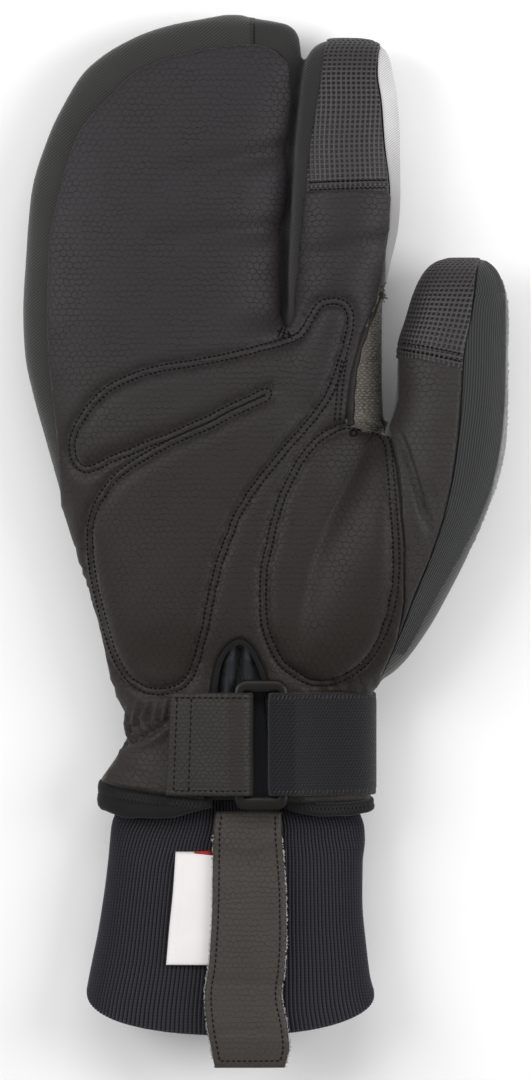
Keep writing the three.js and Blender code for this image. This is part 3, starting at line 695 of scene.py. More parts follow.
def loop_distance(loop, points):
    """Distance of plan points to a closed loop, above 0 inside, and the length along it."""
    a = loop
    b = np.roll(loop, -1, axis=0)
    d = b - a
    length = np.linalg.norm(d, axis=1)
    along = np.concatenate([[0], np.cumsum(length)[:-1]])
    signed = np.empty(len(points))
    place = np.empty(len(points))
    for start in range(0, len(points), CHUNK):
        part = slice(start, start + CHUNK)
        p = points[part]
        rel = p[:, None, :] - a[None]
        t = share_of((rel * d).sum(-1) / np.maximum(length**2, 1e-9))
        gap = np.linalg.norm(rel - t[..., None] * d, axis=-1)
        k = gap.argmin(1)
        rows = np.arange(len(p))
        crosses = (a[:, 1] > p[:, 1:2]) != (b[:, 1] > p[:, 1:2])
        rise = np.where(np.abs(d[:, 1]) < 1e-9, 1e-9, d[:, 1])
        at_x = a[:, 0] + (p[:, 1:2] - a[:, 1]) / rise * d[:, 0]
        inside = (crosses & (p[:, :1] < at_x)).sum(1) % 2 == 1
        signed[part] = np.where(inside, gap[rows, k], -gap[rows, k])
        place[part] = along[k] + t[rows, k] * length[k]
    return signed, place


def inward_of(loop):
    """Plan directions from a closed loop's points to its inside."""
    ahead = np.roll(loop, -1, axis=0) - np.roll(loop, 1, axis=0)
    ahead = unit(ahead)
    area = 0.5 * np.sum(loop[:, 0] * np.roll(loop[:, 1], -1) - np.roll(loop[:, 0], -1) * loop[:, 1])
    return stacked(-ahead[:, 1], ahead[:, 0]) * np.sign(area)


def plan_mesh(outline, spacing, rims=(0.3, 0.8, 1.5), lines=()):
    """Triangles that fill a plan outline, with finer rows along its edge and along the lines."""
    loop = spaced(np.asarray(outline, float), spacing, closed=True)
    for _ in range(2):
        loop = (np.roll(loop, 1, axis=0) + 2 * loop + np.roll(loop, -1, axis=0)) / 4
    inward = inward_of(loop)
    sets = [loop]
    for rim in rims:
        shifted = loop + inward * rim
        signed, _ = loop_distance(loop, shifted)
        sets.append(shifted[signed > 0.85 * rim])
    low, high = loop.min(0), loop.max(0)
    rise = spacing * math.sqrt(3) / 2
    ys = np.arange(low[1], high[1], rise)
    rows = []
    for i, y in enumerate(ys):
        xs = np.arange(low[0] + (i % 2) * spacing / 2, high[0], spacing)
        rows.append(stacked(xs, np.full_like(xs, y)))
    grid = np.concatenate(rows)
    signed, _ = loop_distance(loop, grid)
    grid = grid[signed > rims[-1] + 0.6 * spacing]
    for line in lines:
        gap, _ = loop_distance(line, grid)
        grid = grid[np.abs(gap) > ROW_OFFSETS[-1] + 0.5 * spacing]
    sets.append(grid)
    for i, line in enumerate(lines):
        for offset in ROW_OFFSETS:
            row = offset_loop(line, offset) if offset else line
            signed, _ = loop_distance(loop, row)
            row = row[signed > rims[-1] + 0.4 * spacing]
            for other in lines[:i]:
                gap, _ = loop_distance(other, row)
                row = row[np.abs(gap) > ROW_OFFSETS[-1] + 0.3]
            sets.append(row)
    points = np.concatenate(sets)
    count = len(loop)
    edges = [(i, (i + 1) % count) for i in range(count)]
    made = delaunay_2d_cdt([Vector(p) for p in points], edges, [], 1, 1e-5)
    plan = np.array([tuple(v) for v in made[0]])
    faces = []
    for a, b, c in made[2]:
        turn = np.cross(plan[b] - plan[a], plan[c] - plan[a])
        faces.append((a, b, c) if turn > 0 else (a, c, b))
    return plan, faces, loop


def row_line(corners, step=0.7):
    return spaced(np.array(corners, float), step)


def edge_roll(signed, lift, sink=0.5, reach=0.16):
    """How far a panel stands off the shell: turned in along its edge."""
    return -sink + (lift + sink) * (1 - np.exp(-np.maximum(signed, 0) / reach))


# Stitches, each one a short rounded bar of thread

def capsule(around=6, rings=4):
    points, faces = [], []
    for r in range(rings):
        angle = math.pi * (r / (rings - 1) - 0.5)
        x = 0.5 * math.sin(angle)
        radius = max(0.25, math.cos(angle))
        for c in range(around):
            turn = math.tau * c / around
            points.append((x, radius * math.cos(turn), radius * math.sin(turn)))
    faces += grid_faces(rings, around, closed=True)
    faces.append(tuple(range(around)))
    faces.append(tuple(reversed(range((rings - 1) * around, rings * around))))
    return np.array(points), faces


CAPSULE = capsule()


def stitch_bars(name, bars, material):
    """bars: lists of (start, end, normal, radius) in millimetres."""
    unit, unit_faces = CAPSULE
    points, faces = [], []
    for start, end, normal, radius in bars:
        along = end - start
        length = np.linalg.norm(along)
        if length < 1e-6:
            continue
        e1 = along / length
        e2 = np.cross(normal, e1)
        e2 /= max(np.linalg.norm(e2), 1e-9)
        e3 = np.cross(e1, e2)
        base = len(points) * len(unit)
        middle = (start + end) / 2
        points.append(middle + unit[:, :1] * along + radius * (unit[:, 1:2] * e2 + unit[:, 2:] * e3))
        faces += shifted(unit_faces, base)
    return add_piece(name, np.concatenate(points), faces, material)


def seam_bars(tree, line, closed=False, pitch=STITCH_PITCH, fill=0.72, lift=0.06, radius=THREAD):
    """Running stitches along a plan line, laid on a surface."""
    at = spaced(np.asarray(line, float), pitch, closed)
    ends = np.roll(at, -1, axis=0) if closed else at[1:]
    starts = at if closed else at[:-1]
    near = np.linalg.norm(ends - starts, axis=1) < 1.5 * pitch
    starts, ends = starts[near], ends[near]
    first, n0 = dropped(tree, starts + (ends - starts) * (1 - fill) / 2)
    second, n1 = dropped(tree, ends - (ends - starts) * (1 - fill) / 2)
    normals = unit(n0 + n1)
    return [(a + n * lift, b + n * lift, n, radius) for a, b, n in zip(first, second, normals)]


def offset_loop(loop, distance):
    """A closed plan loop moved inwards by a distance."""
    inward = inward_of(loop)
    moved = loop + inward * distance
    signed, _ = loop_distance(loop, moved)
    return moved[signed * np.sign(distance) > 0.8 * abs(distance)]


def wave_noise(points, size, seed):
    """Smooth noise from -1 to 1 over plan points, the same on each run."""
    rng = np.random.default_rng(seed)
    total = np.zeros(len(points))
    for _ in range(10):
        angle = rng.uniform(0, math.tau)
        stretch = rng.uniform(0.6, 1.7) * math.tau / size
        phase = rng.uniform(0, math.tau)
        total += np.sin(points @ np.array([math.cos(angle), math.sin(angle)]) * stretch + phase)
    return total / 4.0


def vertex_normals(points, faces):
    corners = [f[:3] for f in faces] + [(f[0], f[2], f[3]) for f in faces if len(f) == 4]
    tri = np.array(corners)
    cross = np.cross(points[tri[:, 1]] - points[tri[:, 0]], points[tri[:, 2]] - points[tri[:, 0]])
    out = np.zeros_like(points)
    for k in range(3):
        for axis in range(3):
            out[:, axis] += np.bincount(tri[:, k], cross[:, axis], len(points))
    return unit(out)


def relaxed(values, faces, passes, fixed=None):
    """Each value drawn to the mean of its neighbours."""
    ends = []
    for face in faces:
        ends += [(face[i - 1], face[i]) for i in range(len(face))]
    ends = np.array(ends)
    a = np.concatenate([ends[:, 0], ends[:, 1]])
    b = np.concatenate([ends[:, 1], ends[:, 0]])
    count = np.maximum(np.bincount(a, minlength=len(values)), 1)[:, None]
    values = values.copy()
    for _ in range(passes):
        sums = [np.bincount(a, values[b, k], len(values)) for k in range(values.shape[1])]
        moved = np.stack(sums, axis=-1) / count
        if fixed is not None:
            moved[fixed] = values[fixed]
        values = moved
    return values


def relaxed_line(run, passes):
    return relaxed(run, [(i, i + 1) for i in range(len(run) - 1)], passes)


def compact(points, faces):
    """Points and faces without the points that no face uses."""
    used = np.zeros(len(points), bool)
    for face in faces:
        used[list(face)] = True
    new_index = np.cumsum(used) - 1
    return points[used], [tuple(int(new_index[i]) for i in face) for face in faces]


def face_centres(points, faces):
    return np.array([points[list(face)].mean(0) for face in faces])


def nominal_y(form, points):
    """The table's y of the section that each point of a limb lies on."""
    y = points[:, 1].copy()
    for _ in range(6):
        middle = (form.at("back", y) + form.at("palm", y)) / 2
        c = form.cosine_at(y, points[:, 0])
        s = np.sqrt(1 - c * c) * np.where(points[:, 2] > middle, 1.0, -0.3)
        y = points[:, 1] + form.at("bow", y) * s + form.at("lean", y) * c
    return y


# Outlines in plan

PATCH_Y = {"index": 90.8, "thumb": 45.8}
PATCH_STEP = 0.31     # fine enough for the pits
CROTCH_Y = 54.2
FINGER_BASE = 30.4
HEM_Y = -64.2
HEM_CUT = HEM_Y - 0.4
VENT_FOOT = -66.0
BAND_TOP = 127.5      # the fourchette runs over the tips above this
VENT_X = -6.2
ARCH_TOP = -24.9
ARCH_SPRING = -33.0
PIPING = 1.7
VENT_HALF_HEM = 9.6


def seam_of(form, column, inset=0.25):
    """A seam's x over y, kept on the side of the limb that can be seen."""
    def x(y):
        low = form.at("left", y) + inset
        high = form.at("right", y) - inset
        return np.clip(form.at(column, y), low, high)
    return x


def hem_line(x, y=HEM_Y):
    """Plan y of the hem over x, on the palm side."""
    c = HAND.cosine_at(y, np.asarray(x, float))
    return y - HAND.at("bow", y) * np.sqrt(1 - c * c) - HAND.at("lean", y) * c


def vent_arch(grow, foot_y):
    """The vent's outline from its left foot over the arch to its right foot."""
    flare = (ARCH_SPRING - foot_y) * 0.085
    corners = [(-13.9 - flare, foot_y), (-14.4, -46.0), (-13.9, -38.7), (-13.5, -34.8),
               (-12.6, -30.9), (-11.0, -27.8), (-9.0, -25.7), (-6.4, -24.7), (-4.2, -25.6),
               (-2.5, -27.5), (-0.9, -30.6), (0.5, -34.0), (1.6, -38.7), (2.3, -46.0),
               (1.6 + flare, foot_y)]
    line = smooth_curve(corners, 0.8, closed=False)
    ahead = unit(np.gradient(line, axis=0))
    return line + stacked(-ahead[:, 1], ahead[:, 0]) * (grow - PIPING)


def along_y(x_of, start, stop, step=1.0):
    count = max(2, int(abs(stop - start) / step) + 1)
    ys = np.linspace(start, stop, count)
    return stacked(x_of(ys), ys)


def palm_outline():
    left_up = along_y(seam_of(HAND, "seam_left"), HEM_Y + 2.0, 125.6)
    top = np.array([(-19.4, 126.5), (-15.4, 127.5), (-11.2, 128.25), (-6.6, 128.75),
                    (-2.2, 128.7), (0.8, 128.0), (3.2, 126.6), (4.9, 124.7)])
    right_down = along_y(seam_of(HAND, "seam_right"), 123.6, CROTCH_Y + 4)
    crotch = np.array([(4.4, CROTCH_Y + 1.2), (5.7, CROTCH_Y), (7.0, CROTCH_Y + 1.2)])
    index_up = along_y(seam_of(INDEX, "seam_left"), CROTCH_Y + 4, PATCH_Y["index"] - 0.4)
    index_top = np.array([(15.7, 90.8), (22.2, 90.8), (27.4, 90.8)])
    index_down = along_y(seam_of(INDEX, "seam_right"), 90.4, FINGER_BASE)
    thumb_crotch = np.array([(24.5, 29.4), (29.0, 28.0)])
    thumb_down = along_y(lambda y: THUMB.at("seam_left", y), 27.0, -38.0)
    wrist = np.array([(27.6, -41.0), (27.3, -46.0), (27.3, -52.0)])
    hem_right = np.linspace(27.2, VENT_X + VENT_HALF_HEM + PIPING, 18)
    vent = vent_arch(PIPING, VENT_FOOT)[::-1]
    hem_left = np.linspace(VENT_X - VENT_HALF_HEM - PIPING, -42.0, 20)
    return np.concatenate([
        left_up, top, right_down, crotch, index_up, index_top, index_down, thumb_crotch, thumb_down, wrist,
        stacked(hem_right, hem_line(hem_right)), vent, stacked(hem_left, hem_line(hem_left))])


def thumb_outline():
    left_up = along_y(seam_of(THUMB, "seam_left", 0.4), -25.0, PATCH_Y["thumb"] + 2.4)
    top = np.array([(40.3, 47.4), (45.6, 46.2)])
    right_down = along_y(seam_of(THUMB, "seam_right"), PATCH_Y["thumb"] - 1.0, -25.0)
    return np.concatenate([left_up, top, right_down])


WEB_OUTLINE = [
    (30.2, 66.0), (28.2, 62.4), (25.6, 56.0), (23.4, 50.0), (21.9, 44.0), (21.2, 38.0), (20.4, 30.0),
    (24.6, 27.4), (29.6, 26.6), (31.2, 26.8), (31.0, 29.4), (30.7, 31.4), (30.5, 34.0), (30.4, 44.0),
    (30.35, 54.0), (30.4, 60.0), (30.9, 66.0)]

# The seams of the palm: one loop round the heel and the fingers' base, with a narrow slot
# between them, and one round the base of the thumb
HEEL_LOOP = [
    (8.5, 52.8), (10.5, 54.9), (12.3, 58.0), (14.4, 61.1), (17.6, 62.1), (20.4, 61.4), (22.0, 59.3),
    (22.2, 55.9), (21.2, 51.0), (19.9, 46.5), (18.1, 41.3), (16.0, 36.7), (13.1, 32.5), (9.8, 28.6),
    (5.9, 24.2), (2.0, 19.5), (-1.4, 15.3), (-4.5, 10.9), (-7.2, 6.2), (-8.7, 2.3), (-10.3, -1.8),
    (-11.8, -6.2), (-13.1, -11.4), (-14.2, -16.6), (-15.2, -21.8), (-16.5, -27.0), (-17.8, -31.5),
    (-19.6, -35.6), (-22.5, -38.0), (-26.7, -39.0), (-30.8, -38.4), (-34.5, -36.2), (-37.3, -32.6),
    (-39.6, -27.8), (-41.5, -21.1), (-43.3, -14.0), (-44.6, -7.5), (-45.1, -1.8), (-45.1, 2.9),
    (-44.1, 7.5), (-42.0, 11.7), (-38.9, 15.9), (-35.0, 19.2), (-29.8, 22.4), (-24.6, 25.2), (-19.4, 27.6),
    (-14.2, 29.8), (-9.0, 32.6), (-3.8, 35.0), (0.4, 36.9), (1.3, 37.9), (0.4, 38.7), (-3.8, 36.7),
    (-9.0, 34.3), (-14.2, 31.6), (-19.4, 29.3), (-24.6, 27.0), (-29.8, 25.1), (-35.0, 22.9), (-39.6, 21.1),
    (-43.3, 19.2), (-46.4, 18.5), (-48.8, 20.4), (-49.8, 24.2), (-49.0, 28.3), (-46.7, 32.5),
    (-43.6, 36.4), (-39.6, 39.8), (-33.7, 42.6), (-27.2, 44.5), (-18.1, 46.0), (-9.0, 47.8), (-0.7, 49.9),
    (4.6, 51.4)]
THUMB_LOOP = [
    (21.2, 29.9), (17.0, 28.3), (13.1, 25.5), (9.5, 21.1), (6.9, 16.4), (4.5, 11.2), (2.7, 5.5),
    (1.2, -1.0), (-0.1, -7.5), (-0.4, -15.3), (0.1, -21.8), (2.0, -27.3), (4.5, -31.5), (8.2, -34.6),
    (12.3, -36.4), (17.0, -36.4), (21.7, -34.6), (25.9, -31.5), (29.2, -26.8), (31.6, -21.1),
    (33.1, -15.3), (33.9, -8.8), (33.9, -1.0), (33.4, 6.8), (32.9, 13.3), (32.4, 19.8), (31.6, 25.6),
    (29.0, 28.4)]
PAD_LINES = [smooth_curve(loop, 0.8) for loop in (HEEL_LOOP, THUMB_LOOP)]
PAD_RISE = 1.35
# Soft folds over the pouch and the index finger: from x, y to x, y, and how deep
SOFT_FOLDS = (
    (-17.0, 96.4, 6.0, 101.6, 0.8), (-19.0, 78.4, 5.0, 81.2, 0.7), (8.0, 72.0, 31.0, 78.0, 0.6))
THUMB_CREASE = ((34.6, 30.0), (37.2, 22.0), (39.4, 15.0), (40.9, 8.5), (42.0, 3.0))
ROW_APART = 0.75      # each row of stitches from the middle of its seam
ROW_OFFSETS = (-1.3, -0.75, -0.35, 0.0, 0.35, 0.75, 1.3)


def draped(name, outline, spacing, material, lift=0.4, relief=None, lines=(), wall=0.9, sink=0.5,
           reach=0.16):
    """A panel laid on the shell from above."""
    plan, faces, loop = plan_mesh(outline, spacing, lines=lines)
    points, _ = dropped(SKIN_TREE, plan)
    signed, place = loop_distance(loop, plan)
    rim = signed < 0.05
    points = relaxed(points, faces, 6, fixed=rim)
    normals = unit(relaxed(vertex_normals(points, faces), faces, 6))
    height = edge_roll(signed, lift, sink, reach)
    if relief is not None:
        height = height + relief(plan, signed, place)
    moved = points + normals * height[:, None]
    moved[:, 2] = np.maximum(moved[:, 2], 0.5)
    piece = add_piece(name, moved, faces, material, replaces=(name,), uv=plan)
    thicken(piece, wall)
    return piece


def seam_groove(distance, depth=0.34, width=0.42):
    """Depth that a pair of stitch rows draws the leather down, over the distance from their seam."""
    rows = bell(np.abs(distance) - ROW_APART, width)
    return -depth * rows


def pucker(distance, place, seed, height=0.13):
    fade = np.exp(-np.abs(distance) / 1.7)
    wave = np.sin(place * math.tau / 3.9 + 1.3 * np.sin(place / 9.0 + seed) + seed)
    return height * fade * wave


def palm_relief(plan, signed, place):
    height = 0.16 * wave_noise(plan, 42.0, 3) + 0.03 * wave_noise(plan, 14.0, 4)
    for x0, y0, x1, y1, deep in SOFT_FOLDS:
        share = np.clip((plan[:, 0] - x0) / (x1 - x0), -0.6, 1.0)
        gap = plan[:, 1] - (y0 + (y1 - y0) * share)
        near = bell(gap, 3.2) * np.clip(1.0 + share * 1.4, 0, 1.4) * (plan[:, 0] < x1 + 2)
        height -= deep * near * (plan[:, 0] > x0 - 12)
    for seed, line in enumerate(PAD_LINES):
        inside, along = loop_distance(line, plan)
        t = share_of((inside - ROW_APART) / 4.5)
        height += PAD_RISE * (1 - (1 - t) ** 2.2)
        out = share_of((-inside - ROW_APART) / 3.5)
        height += 0.6 * (1 - (1 - out) ** 2.0)
        height += seam_groove(inside) + pucker(inside, along, seed, 0.07)
    return height + wrist_gathers(plan)


def web_relief(plan, signed, place):
    """Lengthwise wrinkles and the fold across the web's lower end."""
    x, y = plan[:, 0], plan[:, 1]
    wrinkles = 0.42 * furrows(x + 0.5 * np.sin(y / 1.7) + 0.4 * np.sin(y / 3.1), 1.5, 0.5) - 0.2
    fold = 1.1 * bell(y - 33.2 + (x - 24.0) * 0.7, 0.8) * share_of((x - 23.6) / 1.6)
    return wrinkles * share_of(signed / 1.0) + fold


def furrows(across, pitch, width):
    """Round ridges parted by narrow creases, from 0 in a crease to 1."""
    return 1 - bell(np.sin(across * math.pi / pitch), width)


def wrist_gathers(plan):
    """Folds that run up and out from the strap's leather end, and small ones by the hem."""
    x, y = plan[:, 0], plan[:, 1]
    near = 1 / (1 + np.exp((x + 24.0) / 0.8))
    calm = np.clip((x + 37.0) / 2.5, 0.3, 1)
    above = y - np.interp(x, [-36.0, -32.4, -28.5, -24.4], [-53.5, -51.7, -49.6, -46.2])
    reach = share_of(above / 1.2 + 0.6) * bell(np.maximum(above, 0), 7.5)
    fan = (x + 19.0) * (1.0 + 0.014 * (y + 60.0)) + (y + 48.0) * 0.2 + 0.8 * np.sin((y + 50.0) / 2.2)
    cross = (x + 19.0) * 0.6 - (y + 48.0) * 0.7 + 0.9 * np.sin((y + 44.0) / 2.4)
    folds = reach * (1.9 * furrows(fan, 2.8, 0.6) + 0.4 * furrows(cross, 4.4, 0.4) - 1.5)
    folds += 0.5 * bell(above + 2.2, 1.5) - 0.8 * bell(above + 0.2, 0.8)
    foot = 0.3 * furrows(y + 0.25 * x + 1.2 * np.sin(x / 4.0), 3.4, 0.5)
    foot = foot * bell(y + 62.0, 3.0) * (x < -14.0)
    right = bell(y + 37.0, 3.0) * 0.35 * furrows(x + 0.2 * y, 3.4, 0.5) * (x > 8.0)
    under = -0.9 * share_of((-37.4 - y) / 1.9) * share_of((x - 10.0) / 4.0)
    return near * calm * folds + foot + right + under


def thumb_relief(plan, signed, place):
    """The long crease below the thumb's crotch, which fades out at both ends."""
    gap = np.abs(loop_distance(smooth_curve(THUMB_CREASE, 0.8, closed=False), plan)[0])
    height = 0.12 * wave_noise(plan, 22.0, 9) + 0.03 * wave_noise(plan, 9.0, 10)
    spread = 0.12 * np.sin((plan[:, 0] * 0.9 + plan[:, 1] * 0.3) * math.tau / 3.6)
    reach = bell(plan[:, 1] - 16.0, 12.0) * bell(plan[:, 0] - 39.0, 5.0)
    deep = 1.3 * share_of((29.5 - plan[:, 1]) / 7.0) * share_of((plan[:, 1] - 1.5) / 7.0)
    return height - deep * bell(gap, 0.8) + spread * reach


def wrapped(name, form, ys, angle_from, angle_to, step, material, lift=0.4, relief=None,
            wall=0.8, sink=0.5, reach=0.2, smooth_passes=2, tilt=0.0):
    """A panel wound round a limb between two angles. Its surface coordinates are millimetres."""
    share = np.linspace(0, 1, 60)
    ys = np.asarray(ys, float)
    a, b = angle_from(ys), angle_to(ys)
    coarse = form.section(ys[:, None], a[:, None] + (b - a)[:, None] * share[None], floor=0.4)
    steps = np.linalg.norm(np.diff(coarse, axis=1), axis=2)
    run = np.concatenate([np.zeros((len(ys), 1)), np.cumsum(steps, axis=1)], axis=1)
    widest = run[:, -1].max()
    columns = max(4, int(widest / step))
    grid = np.empty((len(ys), columns, 3))
    across = np.empty((len(ys), columns))
    for r in range(len(ys)):
        across[r] = np.linspace(0, run[r, -1], columns)
        for k in range(3):
            grid[r, :, k] = np.interp(across[r], run[r], coarse[r, :, k])
    lower = share_of((ys[0] - 8.0 - ys) / (ys[0] - 8.0 - ys[-1]))[:, None]
    grid[..., 1] += tilt * (grid[..., 0] - grid[-1, :, 0].mean()) * lower
    points, _ = nearest(SKIN_TREE, grid.reshape(-1, 3))
    faces = grid_faces(len(ys), columns)
    edge = np.zeros((len(ys), columns), bool)
    edge[0] = edge[-1] = True
    edge[:, 0] = edge[:, -1] = True
    points = relaxed(points, faces, smooth_passes, fixed=edge.ravel())
    faces, normals = facing_out(points, faces, points.mean(0))
    normals = unit(relaxed(normals, faces, 3))
    centre_line = points.reshape(len(ys), columns, 3)[:, columns // 2]
    down = np.broadcast_to(run_length(centre_line)[:, None], across.shape)
    sides = np.minimum(across, run[:, -1:] - across)
    signed = np.minimum(sides, np.minimum(down, down.max() - down))
    u = across - run[:, -1:] / 2
    height = edge_roll(signed, lift, sink, reach)
    if relief is not None:
        height = height + relief(u, down, signed)
    moved = points + normals * height.reshape(-1, 1)
    moved[:, 2] = np.maximum(moved[:, 2], 0.3)
    uv = stacked(u.ravel(), down.ravel())
    piece = add_piece(name, moved, faces, material, replaces=(name,), uv=uv)
    thicken(piece, wall)
    return piece


def meridian_rows(form, top, bottom, step):
    """Values of y from top to bottom, evenly spaced along the palm side."""
    y = np.linspace(top, bottom, 600)
    line = stacked(y, form.at("palm", y))
    return spaced(line, step)[:, 0]


def waffle(u, v, pitch=1.25, depth=0.32):
    """A grid of small square pits."""
    pit = share_of(np.cos(math.pi * u / pitch) ** 2 * 1.35 - 0.3)
    pit = pit * share_of(np.cos(math.pi * v / pitch) ** 2 * 1.35 - 0.3)
    return -depth * pit


# Sweeps

def tube(path, radius, around=10, squash=1.0):
    """A tube along a path of points, closed at both ends."""
    path = np.asarray(path, float)
    ahead = unit(np.gradient(path, axis=0))
    up = unit(UP - ahead * ahead[:, 2:3])
    side = np.cross(ahead, up)
    angle = np.arange(around) / around * math.tau
    radius = np.broadcast_to(np.asarray(radius, float), (len(path),))[:, None, None]
    c, s = (f(angle)[None, :, None] for f in (np.cos, np.sin))
    ring = c * side[:, None] + squash * s * up[:, None]
    points = (path[:, None] + radius * ring).reshape(-1, 3)
    return points, capped_faces(len(path), around)


def section_loop(thick, width, corner=0.5, across=20):
    """A flat rounded rectangle as (height, place across) pairs, round the way."""
    corner = min(corner, thick * 0.48)
    turn = np.linspace(0, math.pi / 2, 4)
    h, w = thick / 2 - corner, width / 2 - corner
    loop = []
    run = np.linspace(-w, w, across)
    loop += [(thick / 2, x) for x in run]
    loop += [(h + corner * math.cos(t), w + corner * math.sin(t)) for t in turn[1:]]
    loop += [(-h - corner * math.sin(t), w + corner * math.cos(t)) for t in turn[:-1]]
    loop += [(-thick / 2, x) for x in run[::-1]]
    loop += [(-h - corner * math.cos(t), -w - corner * math.sin(t)) for t in turn[1:]]
    loop += [(h + corner * math.sin(t), -w - corner * math.cos(t)) for t in turn[:-1]]
    return np.array(loop)


def band(path, thick, top, bottom, relief=None, corner=0.5, across=20):
    """A strap whose middle follows [x, z] points, as wide as from top to bottom."""
    path = np.asarray(path, float)
    ahead = unit(np.gradient(path, axis=0))
    out = stacked(-ahead[:, 1], ahead[:, 0])
    loop = section_loop(thick, top - bottom, corner, across)
    run = run_length(path)
    points, uv = [], []
    for i in range(len(path)):
        height, y = loop[:, 0].copy(), loop[:, 1] + (top + bottom) / 2
        if relief is not None:
            height = height + np.sign(height) * relief(run[i], loop[:, 1])
        x, z = (path[i, k] + out[i, k] * height for k in (0, 1))
        points.append(stacked(x, y, z))
        uv.append(stacked(np.full(len(loop), run[i]), loop[:, 1]))
    return np.concatenate(points), capped_faces(len(path), len(loop)), np.concatenate(uv)


# Materials

# The upper tone is a painted sheen over the fingers' end of the palm
LEATHER = leather_material("pebbled_leather", (0.016, 0.0125, 0.0103), upper=(0.0215, 0.0182, 0.0228))
LEATHER_THUMB = leather_material("pebbled_leather_thumb", (0.0235, 0.0195, 0.0195))
WEB = leather_material("web_leather", (0.125, 0.115, 0.098), cell=0.75, crease_depth=0.16, low=0.32,
                       squeeze=0.6, line=0.25)
# Much darker than the palm leather: painted shade along the turned-under edge beside the web
WEB_FOLD_SHADED = leather_material("web_fold_painted_shade", (0.0095, 0.0085, 0.0075), cell=1.0, crease_depth=0.08)
WAFFLE = waffle_material("waffle_leather", (0.0245, 0.022, 0.0232))
TWILL = twill_material("softshell_twill", (0.0245, 0.0245, 0.0232))
# A darker copy of the softshell: painted shade for the fourchette deep in the slit
TWILL_SHADED = twill_material("softshell_painted_shade", (0.0185, 0.0187, 0.018))
# The grey panel darkens towards its lower end as painted shade
GREY = twill_material("grey_softshell", (0.5, 0.49, 0.5), pitch=0.5, sheen=0.2, depth=0.04, lower=0.56)
STRETCH = ribbed_material("ribbed_stretch", (0.036, 0.037, 0.038), 0.7)
TERRY = plain_material("terry", (0.205, 0.205, 0.2), 0.95, 2.2, 0.3, 0.15, 0.6)
KNIT = knit_material("rib_knit", (0.0215, 0.0205, 0.0262))
BINDING = plain_material("binding_cloth", (0.0085, 0.0085, 0.0091), 0.9, 2.6, 0.06, 0.2, 0.12)
VENT_CLOTH = plain_material("vent_cloth", (0.0085, 0.0095, 0.0125), 0.6, 2.6, 0.03, 0.3, 0.1)
TAB_LEATHER = leather_material("tab_leather", (0.0205, 0.0172, 0.0165), cell=1.2, crease_depth=0.07,
                               low=0.6, squeeze=0.75)
PULL_LEATHER = leather_material("pull_tab_leather", (0.04, 0.0345, 0.031), cell=1.6, crease_depth=0.06,
                                low=0.6)
ELASTIC = weave_material("elastic", (0.007, 0.007, 0.009))
PLASTIC = plain_material("buckle_plastic", (0.006, 0.005, 0.0045), 0.36, 2.0, 0.006, 0.25)
LABEL = plain_material("label_cloth", (0.75, 0.73, 0.72), 0.85, 2.8, 0.03, 0.2, spread=0.02)
THREAD_BLACK = plain_material("thread_black", (0.003, 0.003, 0.003), 0.6, 4.0, 0.02, 0.12)
THREAD_GREY = plain_material("thread_grey", (0.0095, 0.0095, 0.0105), 0.6, 4.0, 0.02, 0.25, 0.1)
THREAD_LIGHT = plain_material("thread_light", (0.028, 0.028, 0.031), 0.7, 4.0, 0.02, 0.25, 0.1)
FRAY = plain_material("frayed_edge", (0.34, 0.33, 0.32), 0.95, 3.0, 0.05, 0.2, 0.4)
RED = plain_material("red_cloth", (0.4, 0.02, 0.02), 0.8, 3.0, 0.02, 0.3)


# The shell: back of the hand, with the side band round the pouch

def shell_skin():
    limbs = [closed_loft(HAND, 1.6, 120, end=6.0), closed_loft(INDEX, 1.6, 72), closed_loft(THUMB, 1.6, 72)]
    return united("skin", limbs, VOXEL, 12)


skin_piece = shell_skin()
SKIN, SKIN_FACES = mesh_arrays(skin_piece.data)
SKIN_TREE = surface_tree(skin_piece)


def shell_lining():
    inside = [closed_loft(HAND, 3.0, 60, grow=-WALL, floor=WALL, end=16.0)]
    inside += [closed_loft(form, 3.0, 40, grow=-WALL, floor=WALL) for form in (INDEX, THUMB)]
    return united("lining", inside, 2.0, 3)


def add_shell():
    centres = face_centres(SKIN, SKIN_FACES)
    keep = nominal_y(HAND, centres) > HEM_CUT
    keep &= ~in_fourchette(centres)
    for outline, margin in ((palm_outline(), 3.0), (thumb_outline(), 1.6)):
        deep, _ = loop_distance(spaced(outline, 1.5, closed=True), centres[:, :2])
        keep &= ~((deep > margin) & (centres[:, 2] > PALM_SIDE))
    for hole in (vent_arch(0.8, VENT_FOOT - 4.0), np.array(WEB_OUTLINE)):
        deep, _ = loop_distance(spaced(hole, 1.0, closed=True), centres[:, :2])
        keep &= ~((deep > 0.1) & (centres[:, 2] > PALM_SIDE))
    points, faces = compact(SKIN, [f for f, k in zip(SKIN_FACES, keep) if k])
    lining = shell_lining()
    inner, inner_faces = mesh_arrays(lining.data)
    bpy.data.objects.remove(lining)
    inside = nominal_y(HAND, face_centres(inner, inner_faces)) > HEM_CUT
    inner, inner_faces = compact(inner, turned([f for f, k in zip(inner_faces, inside) if k]))
    start = len(points)
    faces += shifted(inner_faces, start)
    points = np.concatenate([points, inner])
    points[:, 2] = np.maximum(points[:, 2], 0.0)
    add_piece("back_shell", points, faces, TWILL, replaces=("back_shell",))


def in_fourchette(centres, under=0.0):
    x, y, z = centres.T
    over = y > BAND_TOP
    left = np.where(over, -2.9, HAND.at("seam_right", np.minimum(y, BAND_TOP))) - under
    right = np.where(over, 17.0, INDEX.at("seam_left", y)) + under
    return (x > left) & (x < right) & (z > 6.0 - under) & (y > CROTCH_Y - under) & (z < 24.5)


def add_fourchette():
    centres = face_centres(SKIN, SKIN_FACES)
    keep = in_fourchette(centres, 1.0)
    points, faces = compact(SKIN, [f for f, k in zip(SKIN_FACES, keep) if k])
    points = points + vertex_normals(points, faces) * 0.08
    # The fourchette takes the darker copy of the softshell as painted shade
    piece = add_piece("fourchette", points, faces, TWILL_SHADED, replaces=("fourchette",))
    thicken(piece, 0.8)


